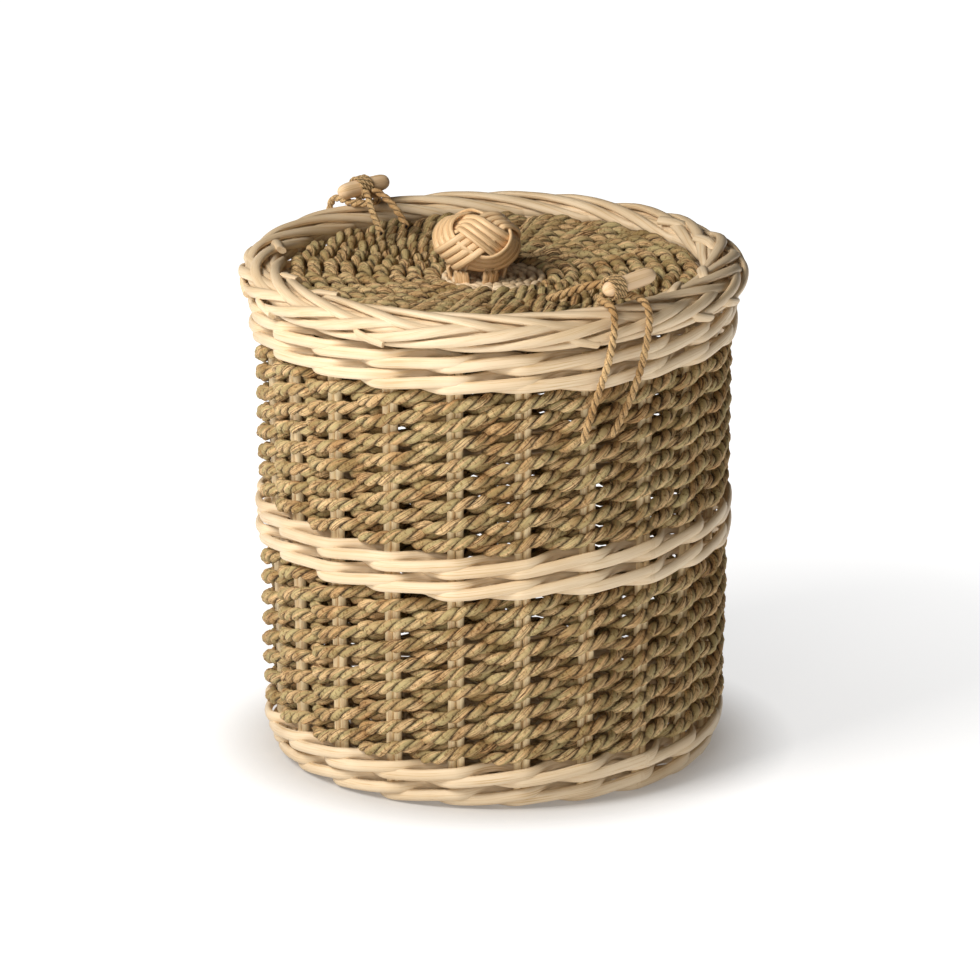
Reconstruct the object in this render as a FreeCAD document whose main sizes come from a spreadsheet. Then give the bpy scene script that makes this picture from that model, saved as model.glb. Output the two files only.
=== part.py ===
import FreeCAD, Part
import math
import os

import Sketcher

# A round basket with a loose lid, in millimetres. +Z is up, the origin is the centre of
# the foot on the floor, and the two toggle fastenings lie on -Y (front) and +Y (rear).

DIMENSIONS = {
    # wall
    "stake_pairs": 21,  # upright cane pairs round the wall
    "stake_thickness": 4.2,
    "stake_spacing": 4.4,  # between the two canes of a pair
    "stake_fit": 0.4,  # room round each pair in the weave
    "stake_start": 8.0,  # height where the uprights begin inside the foot
    "stake_end": 3.4,  # how far below the rim's top they end
    "stake_top_radius": 116.6,  # the uprights' distance from the axis
    "wall_lean": 4.3,  # how much further out they stand at the top than at the foot
    "stake_foot_radius": "=stake_top_radius - wall_lean",
    "first_pair_angle": -84.286,  # degrees from +X
    "rope_thickness": 6.5,
    "row_gap": 0.4,
    "row_rounding": 3.0,
    "lower_rows": 8,
    "lower_pitch": 11.1,
    "upper_rows": 8,
    "upper_pitch": 10.5,
    # cane bands
    "foot_height": 25.2,
    "foot_back": 11.3,  # from the foot of the uprights to the inside
    "foot_tuck": 0.8,  # how far inside the uprights the flat of the foot ends
    "foot_bulge": 5.9,
    "foot_front": 9.0,
    "foot_inner_radius": "=stake_foot_radius - foot_back",
    "foot_bottom_radius": "=stake_foot_radius - foot_tuck",
    "foot_bulge_radius": "=stake_foot_radius + foot_bulge",
    "foot_bulge_height": 13.0,
    "foot_top_radius": "=stake_foot_radius + foot_front",
    "middle_height": 25.2,
    "middle_thickness": 10.0,  # from the stake line to the outside
    "rim_height": 22.4,
    "rim_thickness": 10.5,
    "band_back": 8.8,  # from the stake line to the inside
    "band_rounding": 4.5,
    # base
    "base_start": 6.0,
    "base_thickness": 9.0,
    "base_fit": 0.3,
    "spoke_thickness": 4.2,
    "spoke_fit": 0.3,
    "leg_room": 0.6,  # between the knob's legs and the spokes
    "spoke_start": "=sqrt(knob_shift_x^2 + knob_shift_y^2) + leg_circle + leg_thickness/2 + leg_room",
    # lid
    "lid_gap": 0.4,  # between the rim and the lid
    "lid_fit": 0.8,  # between the lid and the inside of the rim
    "lid_overhang": 4.8,
    "lid_border_inner": "=stake_top_radius - band_back - lid_fit",
    "lid_border_outer": "=stake_top_radius + rim_thickness + lid_overhang",
    "lid_border_height": 19.0,
    "lid_border_rounding": 6.0,
    "lid_rows": 9,
    "lid_row_pitch": "=(lid_border_inner - row_gap - lid_centre_radius) / lid_rows",
    "lid_row_height": 17.0,
    "lid_row_rounding": 3.0,
    "lid_disc_top": 13.0,  # top of the outer row above the lid's seat
    "lid_dish": 4.0,  # how much lower the middle of the lid is
    "lid_centre_radius": 28.3,
    "lid_centre_thickness": 14.0,
    "lid_spoke_height": 4.5,  # spoke line above the lid's seat
    "lid_spoke_cover": 5.9,  # what the border covers beyond the spokes' ends
    "lid_spoke_end": "=lid_border_outer - lid_spoke_cover",
    # knob
    "knob_width": 45.0,
    "knob_height": 34.0,
    "knob_cut_angle": 60.0,  # degrees below the middle where its flat begins
    "knob_shift_x": -8.0,  # the knot was tied a little off the middle
    "knob_shift_y": 3.7,
    "knob_gap": 0.3,
    "leg_thickness": 3.2,
    "leg_circle": 5.5,
    "legs": 5,
    "leg_length": 13.0,
    "first_leg_angle": 22.918,  # degrees from +X
    # toggles
    "peg_thickness": 9.0,
    "front_peg_length": 32.0,
    "front_peg_x": -3.5,
    "front_peg_out": 1.55,  # outside the middle of the lid's border
    "front_peg_height": 11.5,  # above the top of the border
    "front_peg_rise": 7.5,  # degrees, towards +X
    "front_lashing_place": -9.0,  # along the peg from its middle
    "rear_peg_length": 29.0,
    "rear_peg_x": 2.0,
    "rear_peg_out": -1.95,
    "rear_peg_height": 9.3,
    "rear_peg_rise": 3.0,
    "rear_lashing_place": -2.5,
    "lashing_width": 9.0,
    "lashing_thickness": 1.8,
    "lashing_fit": 0.3,
    # cords
    "loop_thickness": 3.6,
    "front_tie_thickness": 4.8,
    "rear_tie_thickness": 4.0,
}

doc = FreeCAD.newDocument("lidded_basket")
sheet = doc.addObject("Spreadsheet::Sheet", "Dims")
for line, (alias, value) in enumerate(DIMENSIONS.items(), start=1):
    sheet.set(f"A{line}", alias)
    sheet.set(f"B{line}", str(value))
    sheet.setAlias(f"B{line}", alias)
doc.recompute()


def size(alias):
    """A driving dimension, as a plain number."""
    return float(sheet.get(alias))


SUB_PARTS = []


def register(piece, label):
    """Gives a sub-part the name of its file and node."""
    piece.Label = label
    SUB_PARTS.append(piece)
    return piece


def plane(body, role):
    return next(part for part in body.Origin.OriginFeatures if part.Role == role)


def new_body(label):
    return register(doc.addObject("PartDesign::Body", label), label)


def new_sketch(body, name, role, offset=None):
    sketch = body.newObject("Sketcher::SketchObject", name)
    sketch.AttachmentSupport = [(plane(body, role), "")]
    sketch.MapMode = "FlatFace"
    if offset:
        sketch.setExpression("AttachmentOffset.Base.z", offset)
    return sketch


def bind(sketch, constraint, name, expression):
    """Adds a dimension to a sketch and binds it to the sheet."""
    index = sketch.addConstraint(constraint)
    sketch.renameConstraint(index, name)
    sketch.setExpression(f"Constraints.{name}", expression)


def point(x, y):
    return FreeCAD.Vector(x, y, 0)


# heights of the levels, as expressions that the features are bound to
FOOT_TOP = "Dims.foot_height + Dims.row_gap"
MIDDLE_FOOT = f"{FOOT_TOP} + Dims.lower_rows * Dims.lower_pitch"
MIDDLE_TOP = f"{MIDDLE_FOOT} + Dims.middle_height + Dims.row_gap"
RIM_FOOT = f"{MIDDLE_TOP} + Dims.upper_rows * Dims.upper_pitch"
RIM_TOP = f"{RIM_FOOT} + Dims.rim_height"
LID_SEAT = f"{RIM_TOP} + Dims.lid_gap"
LID_TOP = f"{LID_SEAT} + Dims.lid_border_height"
STAKE_REACH = f"({RIM_TOP} - Dims.stake_end - Dims.stake_start)"


def number(expression):
    """The value of an expression of driving dimensions."""
    return float(sheet.evalExpression(expression))


def stake_line(height):
    """Distance of the uprights from the axis at a height, as an expression."""
    lean = f"Dims.wall_lean / {STAKE_REACH}"
    return f"(Dims.stake_foot_radius + {lean} * ({height} - Dims.stake_start))"


def rounded_section(sketch, inner, outer, tall, rounding):
    """A rounded rectangle that stands on the sketch's horizontal axis."""
    near, far = number(inner), number(outer)
    top, bend = number(tall), number(rounding)
    corners = [(near, 0), (far, 0), (far, top), (near, top)]
    inward = [(1, 1), (-1, 1), (-1, -1), (1, -1)]
    for start, end, first, last in zip(
        corners, corners[1:] + corners[:1], inward, inward[1:] + inward[:1]
    ):
        level = start[1] == end[1]
        a = point(start[0] + bend * first[0] * level, start[1] + bend * first[1] * (not level))
        b = point(end[0] + bend * last[0] * level, end[1] + bend * last[1] * (not level))
        sketch.addGeometry(Part.LineSegment(a, b), False)
    for corner, way, angle in zip(corners, inward, (180, 270, 0, 90)):
        centre = point(corner[0] + bend * way[0], corner[1] + bend * way[1])
        circle = Part.Circle(centre, FreeCAD.Vector(0, 0, 1), bend)
        arc = Part.ArcOfCircle(circle, math.radians(angle), math.radians(angle + 90))
        sketch.addGeometry(arc, False)
    for side in range(4):
        before = 4 + side
        after = 4 + (side + 1) % 4
        sketch.addConstraint(Sketcher.Constraint("Tangent", before, 2, side, 1))
        sketch.addConstraint(Sketcher.Constraint("Tangent", side, 2, after, 1))
    sketch.addConstraint(Sketcher.Constraint("Horizontal", 2))
    sketch.addConstraint(Sketcher.Constraint("Vertical", 1))
    sketch.addConstraint(Sketcher.Constraint("Vertical", 3))
    sketch.addConstraint(Sketcher.Constraint("PointOnObject", 0, 1, -1))
    sketch.addConstraint(Sketcher.Constraint("PointOnObject", 0, 2, -1))
    for arc in (5, 6, 7):
        sketch.addConstraint(Sketcher.Constraint("Equal", 4, arc))
    bind(sketch, Sketcher.Constraint("Radius", 4, bend), "rounding", rounding)
    bind(sketch, Sketcher.Constraint("DistanceX", -1, 1, 3, 1, near), "inner", inner)
    bind(sketch, Sketcher.Constraint("DistanceX", -1, 1, 1, 1, far), "outer", outer)
    bind(sketch, Sketcher.Constraint("DistanceY", -1, 1, 2, 1, top), "tall", tall)


def turn(body, sketch):
    """Turns a section round the basket's axis."""
    ring = body.newObject("PartDesign::Revolution", f"{body.Name}_turned")
    ring.Profile = sketch
    ring.ReferenceAxis = (sketch, ["V_Axis"])
    ring.Angle = 360
    sketch.Visibility = False
    doc.recompute()
    return ring


def cut_round(body, sketch, depth, count):
    """Cuts a sketch along its normal and repeats the cut round the axis."""
    before = body.Shape.Volume
    cut = body.newObject("PartDesign::Pocket", f"{body.Name}_cut")
    cut.Profile = sketch
    cut.Type = "Length"
    cut.Reversed = True
    cut.setExpression("Length", depth)
    doc.recompute()
    if not body.Shape.Volume < before:
        raise ValueError(f"{body.Label}: the cut removed nothing")
    pattern = body.newObject("PartDesign::PolarPattern", f"{body.Name}_cuts")
    pattern.Originals = [cut]
    pattern.Axis = (plane(body, "Z_Axis"), [""])
    pattern.Angle = 360
    pattern.setExpression("Occurrences", count)
    body.Tip = pattern
    doc.recompute()


def stake_slots(body, radius, start, depth):
    """Slots that the pairs of uprights stand in."""
    sketch = new_sketch(body, f"{body.Name}_slot", "XY_Plane", start)
    half = number("Dims.stake_spacing / 2")
    bend = number("Dims.stake_thickness / 2 + Dims.stake_fit")
    middle = number(radius)
    for side in (-1, 1):
        line = (point(middle + bend * side, -half * side), point(middle + bend * side, half * side))
        sketch.addGeometry(Part.LineSegment(*line), False)
    for side, angle in ((1, 0), (-1, 180)):
        circle = Part.Circle(point(middle, half * side), FreeCAD.Vector(0, 0, 1), bend)
        arc = Part.ArcOfCircle(circle, math.radians(angle), math.radians(angle + 180))
        sketch.addGeometry(arc, False)
    left, right, top, bottom = 0, 1, 2, 3
    sketch.addConstraint(Sketcher.Constraint("Tangent", right, 2, top, 1))
    sketch.addConstraint(Sketcher.Constraint("Tangent", top, 2, left, 1))
    sketch.addConstraint(Sketcher.Constraint("Tangent", left, 2, bottom, 1))
    sketch.addConstraint(Sketcher.Constraint("Tangent", bottom, 2, right, 1))
    sketch.addConstraint(Sketcher.Constraint("Vertical", right))
    sketch.addConstraint(Sketcher.Constraint("Symmetric", top, 3, bottom, 3, -1))
    bend_size = "Dims.stake_thickness / 2 + Dims.stake_fit"
    bind(sketch, Sketcher.Constraint("Radius", top, bend), "bend", bend_size)
    bind(sketch, Sketcher.Constraint("DistanceX", -1, 1, top, 3, middle), "middle", radius)
    between = Sketcher.Constraint("DistanceY", bottom, 3, top, 3, 2 * half)
    bind(sketch, between, "between", "Dims.stake_spacing")
    cut_round(body, sketch, depth, "Dims.stake_pairs")


def spoke_channels(body, height, start, depth):
    """Round channels that the spokes lie in."""
    sketch = new_sketch(body, f"{body.Name}_channel", "YZ_Plane", start)
    radius = number("Dims.spoke_thickness / 2 + Dims.spoke_fit")
    middle = number(height)
    circle = Part.Circle(point(0, middle), FreeCAD.Vector(0, 0, 1), radius)
    sketch.addGeometry(circle, False)
    sketch.addConstraint(Sketcher.Constraint("PointOnObject", 0, 3, -2))
    bore = "Dims.spoke_thickness / 2 + Dims.spoke_fit"
    bind(sketch, Sketcher.Constraint("Radius", 0, radius), "bore", bore)
    bind(sketch, Sketcher.Constraint("DistanceY", -1, 1, 0, 3, middle), "height", height)
    cut_round(body, sketch, depth, "Dims.stake_pairs")


def place(piece, height):
    """Sets a ring on its level, turned so that its slots meet the uprights."""
    upright = FreeCAD.Rotation(FreeCAD.Vector(0, 0, 1), size("first_pair_angle"))
    piece.Placement = FreeCAD.Placement(FreeCAD.Vector(0, 0, 0), upright)
    piece.setExpression("Placement.Rotation.Angle", "Dims.first_pair_angle")
    piece.setExpression("Placement.Base.z", height)


def wall_ring(label, foot, tall, back, front, rounding, slot_depth=None):
    """A ring of the wall whose slots hold the uprights."""
    body = new_body(label)
    line = stake_line(f"({foot} + {tall} / 2)")
    section = new_sketch(body, f"{label}_section", "XZ_Plane")
    rounded_section(section, f"{line} - {back}", f"{line} + {front}", tall, rounding)
    turn(body, section)
    stake_slots(body, line, "0", slot_depth or tall)
    place(body, foot)
    return body


def weave_rows(name, foot, pitch, count):
    """Rows of twined rope, one ring each, from the bottom up."""
    wrap = "(Dims.stake_thickness / 2 + Dims.rope_thickness)"
    for row in range(count):
        wall_ring(
            f"{name}_row_{row + 1}",
            f"({foot} + {row} * {pitch})",
            f"({pitch} - Dims.row_gap)",
            wrap,
            wrap,
            "Dims.row_rounding",
        )


def make_foot():
    """The cane band that the basket stands on: flat below, bulging outside."""
    body = new_body("foot_wale")
    sketch = new_sketch(body, "foot_section", "XZ_Plane")
    inner, bottom = size("foot_inner_radius"), size("foot_bottom_radius")
    top, tall = size("foot_top_radius"), size("foot_height")
    bulge, bulge_height = size("foot_bulge_radius"), size("foot_bulge_height")
    ends = [point(inner, 0), point(bottom, 0), point(bulge, bulge_height)]
    ends += [point(top, tall), point(inner, tall)]
    for a, b in zip(ends, ends[1:] + ends[:1]):
        sketch.addGeometry(Part.LineSegment(a, b), False)
    for side in range(5):
        joint = Sketcher.Constraint("Coincident", side, 2, (side + 1) % 5, 1)
        sketch.addConstraint(joint)
    sketch.addConstraint(Sketcher.Constraint("PointOnObject", 0, 1, -1))
    sketch.addConstraint(Sketcher.Constraint("PointOnObject", 0, 2, -1))
    sketch.addConstraint(Sketcher.Constraint("Horizontal", 3))
    sketch.addConstraint(Sketcher.Constraint("Vertical", 4))
    across = (("inner", 0, 1), ("bottom", 1, 1), ("bulge", 2, 1), ("top", 3, 1))
    for name, line, end in across:
        value = ends[line].x
        alias = f"Dims.foot_{name}_radius"
        bind(sketch, Sketcher.Constraint("DistanceX", -1, 1, line, end, value), name, alias)
    up = Sketcher.Constraint("DistanceY", -1, 1, 2, 1, bulge_height)
    bind(sketch, up, "bulge_height", "Dims.foot_bulge_height")
    up = Sketcher.Constraint("DistanceY", -1, 1, 3, 1, tall)
    bind(sketch, up, "tall", "Dims.foot_height")
    turn(body, sketch)
    start = "Dims.stake_start - Dims.stake_fit"
    line = stake_line("(Dims.stake_start + Dims.foot_height) / 2")
    stake_slots(body, line, start, "Dims.foot_height")
    place(body, "0")


def rods(label, ends, thickness):
    """A group of straight round canes, each a solid of its own."""
    canes = []
    for start, end in ends:
        way = end - start
        canes.append(Part.makeCylinder(thickness / 2, way.Length, start, way))
    piece = register(doc.addObject("Part::Feature", label), label)
    piece.Shape = Part.makeCompound(canes)
    piece.Placement = FreeCAD.Placement()


def make_stakes():
    ends = []
    pairs = int(size("stake_pairs"))
    reach = number(STAKE_REACH)
    for pair in range(pairs):
        angle = math.radians(size("first_pair_angle") + 360 * pair / pairs)
        out = FreeCAD.Vector(math.cos(angle), math.sin(angle), 0)
        along = FreeCAD.Vector(-out.y, out.x, 0)
        for side in (-0.5, 0.5):
            shift = along * size("stake_spacing") * side
            foot = out * size("stake_foot_radius") + shift
            head = out * size("stake_top_radius") + shift
            foot.z = size("stake_start")
            head.z = foot.z + reach
            ends.append((foot, head))
    rods("wall_stakes", ends, size("stake_thickness"))


def make_spokes(label, height, end_radius):
    ends = []
    spokes = int(size("stake_pairs"))
    for spoke in range(spokes):
        angle = math.radians(size("first_pair_angle") + 360 * spoke / spokes)
        out = FreeCAD.Vector(math.cos(angle), math.sin(angle), 0)
        level = FreeCAD.Vector(0, 0, height)
        ends.append((out * size("spoke_start") + level, out * end_radius + level))
    rods(label, ends, size("spoke_thickness"))


def disc(label, radius, tall, channel_height, height):
    """A woven disc with blind channels for the spokes."""
    body = new_body(label)
    sketch = new_sketch(body, f"{label}_outline", "XY_Plane")
    sketch.addGeometry(Part.Circle(point(0, 0), FreeCAD.Vector(0, 0, 1), number(radius)), False)
    sketch.addConstraint(Sketcher.Constraint("Coincident", 0, 3, -1, 1))
    bind(sketch, Sketcher.Constraint("Radius", 0, number(radius)), "radius", radius)
    pad = body.newObject("PartDesign::Pad", f"{label}_pad")
    pad.Profile = sketch
    pad.setExpression("Length", tall)
    doc.recompute()
    start = "Dims.spoke_start - Dims.spoke_fit"
    spoke_channels(body, channel_height, start, radius)
    place(body, height)
    return body


def make_base():
    radius = "Dims.foot_inner_radius - Dims.base_fit"
    disc("base_weave", radius, "Dims.base_thickness", "Dims.base_thickness / 2", "Dims.base_start")
    middle = size("base_start") + size("base_thickness") / 2
    make_spokes("base_sticks", middle, number(radius))


def make_lid():
    spoke_height = number(f"{LID_SEAT} + Dims.lid_spoke_height")
    make_spokes("lid_spokes", spoke_height, size("lid_spoke_end"))

    centre_top = f"({LID_SEAT} + Dims.lid_disc_top - Dims.lid_dish)"
    centre_foot = f"({centre_top} - Dims.lid_centre_thickness)"
    channel = f"({LID_SEAT} + Dims.lid_spoke_height - {centre_foot})"
    centre = disc(
        "lid_centre_weave",
        "Dims.lid_centre_radius - Dims.row_gap",
        "Dims.lid_centre_thickness",
        channel,
        centre_foot,
    )
    leg_holes(centre)

    for row in range(int(size("lid_rows"))):
        inner = f"(Dims.lid_centre_radius + {row} * Dims.lid_row_pitch)"
        outer = f"({inner} + Dims.lid_row_pitch - Dims.row_gap)"
        last = "(Dims.lid_centre_radius + Dims.lid_rows * Dims.lid_row_pitch)"
        drop = f"(Dims.lid_dish * (1 - pow({outer} / {last}; 2)))"
        foot = f"({LID_SEAT} + Dims.lid_disc_top - {drop} - Dims.lid_row_height)"
        body = new_body(f"lid_row_{row + 1}")
        section = new_sketch(body, f"{body.Label}_section", "XZ_Plane")
        rounded_section(section, inner, outer, "Dims.lid_row_height", "Dims.lid_row_rounding")
        turn(body, section)
        height = f"({LID_SEAT} + Dims.lid_spoke_height - {foot})"
        start = "Dims.spoke_start - Dims.spoke_fit"
        spoke_channels(body, height, start, "Dims.lid_border_outer")
        place(body, foot)

    border = new_body("lid_border")
    section = new_sketch(border, "lid_border_section", "XZ_Plane")
    rounded_section(
        section,
        "Dims.lid_border_inner",
        "Dims.lid_border_outer",
        "Dims.lid_border_height",
        "Dims.lid_border_rounding",
    )
    turn(border, section)
    start = "Dims.lid_border_inner - Dims.lid_border_rounding"
    depth = f"Dims.lid_spoke_end + Dims.spoke_fit - ({start})"
    spoke_channels(border, "Dims.lid_spoke_height", start, depth)
    place(border, LID_SEAT)


def leg_centre(leg):
    """Where a leg of the knob goes through the lid, in the lid's own turn."""
    angle = math.radians(size("first_leg_angle") + 360 * leg / size("legs"))
    x = size("knob_shift_x") + size("leg_circle") * math.cos(angle)
    y = size("knob_shift_y") + size("leg_circle") * math.sin(angle)
    return x, y


def leg_holes(centre):
    """Holes in the middle of the lid that the knob's legs pass through."""
    sketch = new_sketch(centre, "leg_hole_circles", "XY_Plane")
    unturn = FreeCAD.Rotation(FreeCAD.Vector(0, 0, 1), -size("first_pair_angle"))
    radius = number("Dims.leg_thickness / 2 + Dims.spoke_fit")
    for leg in range(int(size("legs"))):
        spot = unturn.multVec(FreeCAD.Vector(*leg_centre(leg), 0))
        sketch.addGeometry(Part.Circle(spot, FreeCAD.Vector(0, 0, 1), radius), False)
        bore = Sketcher.Constraint("Radius", leg, radius)
        bind(sketch, bore, f"bore_{leg}", "Dims.leg_thickness / 2 + Dims.spoke_fit")
        sketch.addConstraint(Sketcher.Constraint("Block", leg))
    before = centre.Shape.Volume
    cut = centre.newObject("PartDesign::Pocket", "leg_holes")
    cut.Profile = sketch
    cut.Type = "Length"
    cut.Reversed = True
    cut.setExpression("Length", "Dims.lid_centre_thickness * 2")
    doc.recompute()
    if not centre.Shape.Volume < before:
        raise ValueError("the leg holes removed nothing")


def make_knob():
    knot = doc.addObject("Part::Ellipsoid", "knob_knot")
    register(knot, "knob_knot")
    knot.setExpression("Radius1", "Dims.knob_height / 2")
    knot.setExpression("Radius2", "Dims.knob_width / 2")
    knot.setExpression("Radius3", "Dims.knob_width / 2")
    knot.setExpression("Angle1", "-Dims.knob_cut_angle")  # flat where it sits on the lid
    seat = f"{LID_SEAT} + Dims.lid_disc_top - Dims.lid_dish + Dims.knob_gap"
    knot.setExpression("Placement.Base.x", "Dims.knob_shift_x")
    knot.setExpression("Placement.Base.y", "Dims.knob_shift_y")
    knot.setExpression("Placement.Base.z", f"{seat} + Dims.knob_height / 2 * sin(Dims.knob_cut_angle * 1 deg)")
    top = number(seat)
    ends = []
    for leg in range(int(size("legs"))):
        x, y = leg_centre(leg)
        head = FreeCAD.Vector(x, y, top - size("knob_gap") / 2)
        foot = head - FreeCAD.Vector(0, 0, size("leg_length"))
        ends.append((foot, head))
    rods("knob_legs", ends, size("leg_thickness"))


def make_toggle(name, side):
    """A round-ended wooden peg over the lid's border and the lashing that ties it on."""
    border = (size("lid_border_inner") + size("lid_border_outer")) / 2
    middle = FreeCAD.Vector(
        size(f"{name}_peg_x"),
        side * (border + size(f"{name}_peg_out")),
        number(LID_TOP) + size(f"{name}_peg_height"),
    )
    along = FreeCAD.Rotation(FreeCAD.Vector(0, 1, 0), 90 - size(f"{name}_peg_rise"))
    way = along.multVec(FreeCAD.Vector(0, 0, 1))
    length = f"Dims.{name}_peg_length"

    body = new_body(f"{name}_toggle")
    sketch = new_sketch(body, f"{name}_peg_outline", "XZ_Plane")
    half = number("Dims.peg_thickness / 2")
    ends = number(f"{length} / 2") - half
    down, up = point(0, -ends - half), point(0, ends + half)
    sketch.addGeometry(Part.LineSegment(down, up), False)
    sketch.addGeometry(Part.LineSegment(point(half, -ends), point(half, ends)), False)
    for height, angle in ((ends, 0), (-ends, 270)):
        circle = Part.Circle(point(0, height), FreeCAD.Vector(0, 0, 1), half)
        arc = Part.ArcOfCircle(circle, math.radians(angle), math.radians(angle + 90))
        sketch.addGeometry(arc, False)
    axis, side, top, bottom = 0, 1, 2, 3
    sketch.addConstraint(Sketcher.Constraint("Tangent", side, 2, top, 1))
    sketch.addConstraint(Sketcher.Constraint("Tangent", bottom, 2, side, 1))
    sketch.addConstraint(Sketcher.Constraint("Coincident", top, 2, axis, 2))
    sketch.addConstraint(Sketcher.Constraint("Coincident", bottom, 1, axis, 1))
    sketch.addConstraint(Sketcher.Constraint("Vertical", side))
    sketch.addConstraint(Sketcher.Constraint("PointOnObject", top, 3, -2))
    sketch.addConstraint(Sketcher.Constraint("PointOnObject", axis, 2, -2))
    sketch.addConstraint(Sketcher.Constraint("PointOnObject", axis, 1, -2))
    sketch.addConstraint(Sketcher.Constraint("Symmetric", top, 3, bottom, 3, -1, 1))
    bind(sketch, Sketcher.Constraint("Radius", top, half), "half", "Dims.peg_thickness / 2")
    apart = Sketcher.Constraint("DistanceY", bottom, 3, top, 3, 2 * ends)
    bind(sketch, apart, "apart", f"{length} - Dims.peg_thickness")
    turn(body, sketch)
    body.Placement = FreeCAD.Placement(middle, along)

    outer = doc.addObject("Part::Cylinder", f"{name}_lashing_outside")
    outer.setExpression(
        "Radius", "Dims.peg_thickness / 2 + Dims.lashing_fit + Dims.lashing_thickness"
    )
    outer.setExpression("Height", "Dims.lashing_width")
    inner = doc.addObject("Part::Cylinder", f"{name}_lashing_inside")
    inner.setExpression("Radius", "Dims.peg_thickness / 2 + Dims.lashing_fit")
    inner.setExpression("Height", "Dims.lashing_width")
    ring = doc.addObject("Part::Cut", f"{name}_lashing")
    ring.Base = outer
    ring.Tool = inner
    register(ring, f"{name}_lashing")
    start = middle + way * (size(f"{name}_lashing_place") - size("lashing_width") / 2)
    ring.Placement = FreeCAD.Placement(start, along)


CORNER_SHARE = 0.45  # of the shorter run at a corner that its arc takes up
VOLUME_SHARE = 0.02  # how far a tube's volume may be from its section times its length


def rounded_route(points):
    """Straight runs joined by tangent arcs, and the arcs' radii."""
    edges, radii = [], []
    last = points[0]
    for before, corner, after in zip(points, points[1:], points[2:]):
        back, ahead = before - corner, after - corner
        turn_angle = math.pi - back.getAngle(ahead)
        cut = CORNER_SHARE * min(back.Length, ahead.Length)
        radii.append(cut / math.tan(turn_angle / 2))
        back.normalize()
        ahead.normalize()
        start, end = corner + back * cut, corner + ahead * cut
        bisector = back + ahead
        bisector.normalize()
        centre_gap = radii[-1] / math.cos(turn_angle / 2)
        middle = corner + bisector * (centre_gap - radii[-1])
        edges.append(Part.LineSegment(last, start).toShape())
        edges.append(Part.Arc(start, middle, end).toShape())
        last = end
    edges.append(Part.LineSegment(last, points[-1]).toShape())
    return Part.Wire(edges), radii


def cord(label, routes, thickness):
    """A twisted cord along one or more routes, as plain tubes."""
    tubes = []
    for route in routes:
        points = [FreeCAD.Vector(*spot) for spot in route]
        path, radii = rounded_route(points)
        start, way = points[0], points[1] - points[0]
        section = Part.Wire([Part.Circle(start, way, thickness / 2).toShape()])
        tube = path.makePipeShell([section], True, True)
        tubes.append(tube)
        expected = math.pi * thickness**2 / 4 * path.Length
        print(
            f"{label}: length {path.Length:.1f}, smallest radius {min(radii):.1f}, "
            f"volume over section times length {tube.Volume / expected:.4f}"
        )
        if abs(tube.Volume / expected - 1) > VOLUME_SHARE:
            raise ValueError(f"{label}: the tube's volume is wrong")
    piece = register(doc.addObject("Part::Feature", label), label)
    piece.Shape = tubes[0] if len(tubes) == 1 else Part.makeCompound(tubes)
    piece.Placement = FreeCAD.Placement()


def on_side(side, spots):
    """Points given as x, distance from the axis and height, on the front or rear."""
    return [(x, side * math.sqrt(r * r - x * x), z) for x, r, z in spots]


# the cords' routes: x, distance from the axis, height
FRONT_LOOP = [
    (-33.0, 127.0, 199.0),
    (-29.5, 127.8, 213.0),
    (-26.7, 131.4, 228.0),
    (-24.0, 134.6, 243.0),
    (-21.8, 135.6, 259.0),
    (-20.4, 132.8, 267.4),
    (-19.4, 125.5, 269.6),
    (-18.0, 116.5, 269.3),
    (-12.5, 110.6, 269.5),
    (-6.0, 110.8, 269.4),
    (-0.9, 117.0, 269.3),
    (0.0, 125.5, 269.6),
    (-0.3, 132.8, 267.4),
    (-0.9, 135.6, 259.0),
    (-3.2, 134.6, 244.0),
    (-5.0, 131.6, 230.0),
    (-9.2, 128.0, 214.0),
    (-17.5, 127.0, 200.0),
]
REAR_LOOP_LEFT = [
    (-2.0, 127.0, 199.0),
    (-5.0, 128.0, 214.0),
    (-8.6, 131.5, 227.0),
    (-9.4, 134.3, 237.0),
    (-9.4, 134.3, 247.0),
]
REAR_LOOP_RIGHT = [
    (14.5, 127.0, 199.0),
    (11.5, 128.0, 214.0),
    (9.8, 131.5, 227.0),
    (9.4, 134.3, 237.0),
    (9.4, 134.3, 247.0),
]
REAR_LOOP_TOP = [
    (-9.4, 134.3, 247.0),
    (-9.4, 134.3, 253.0),
    (-9.3, 135.6, 260.0),
    (-9.2, 132.8, 267.4),
    (-9.0, 125.5, 268.4),
    (-8.6, 116.0, 267.9),
    (-4.6, 110.2, 268.2),
    (4.6, 110.2, 268.1),
    (8.6, 116.0, 267.9),
    (9.0, 125.5, 268.4),
    (9.2, 132.8, 267.4),
    (9.3, 135.6, 260.0),
    (9.4, 134.3, 253.0),
    (9.4, 134.3, 247.0),
]
# the ties' routes: x, y, height
FRONT_TIE = [
    (-22.5, -79.0, 262.3),
    (-21.5, -87.0, 265.5),
    (-19.0, -99.0, 271.5),
    (-15.5, -108.0, 275.2),
    (-13.0, -113.0, 276.3),
]
REAR_TIE_LEFT = [
    (-17.0, 76.5, 261.3),
    (-14.0, 86.0, 265.5),
    (-9.5, 97.0, 270.5),
    (-5.2, 105.5, 273.9),
    (-3.2, 110.0, 274.6),
]
REAR_TIE_RIGHT = [
    (1.5, 80.0, 261.3),
    (3.4, 88.0, 265.5),
    (4.0, 98.0, 270.5),
    (2.8, 106.0, 273.9),
    (2.0, 110.0, 274.6),
]


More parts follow.
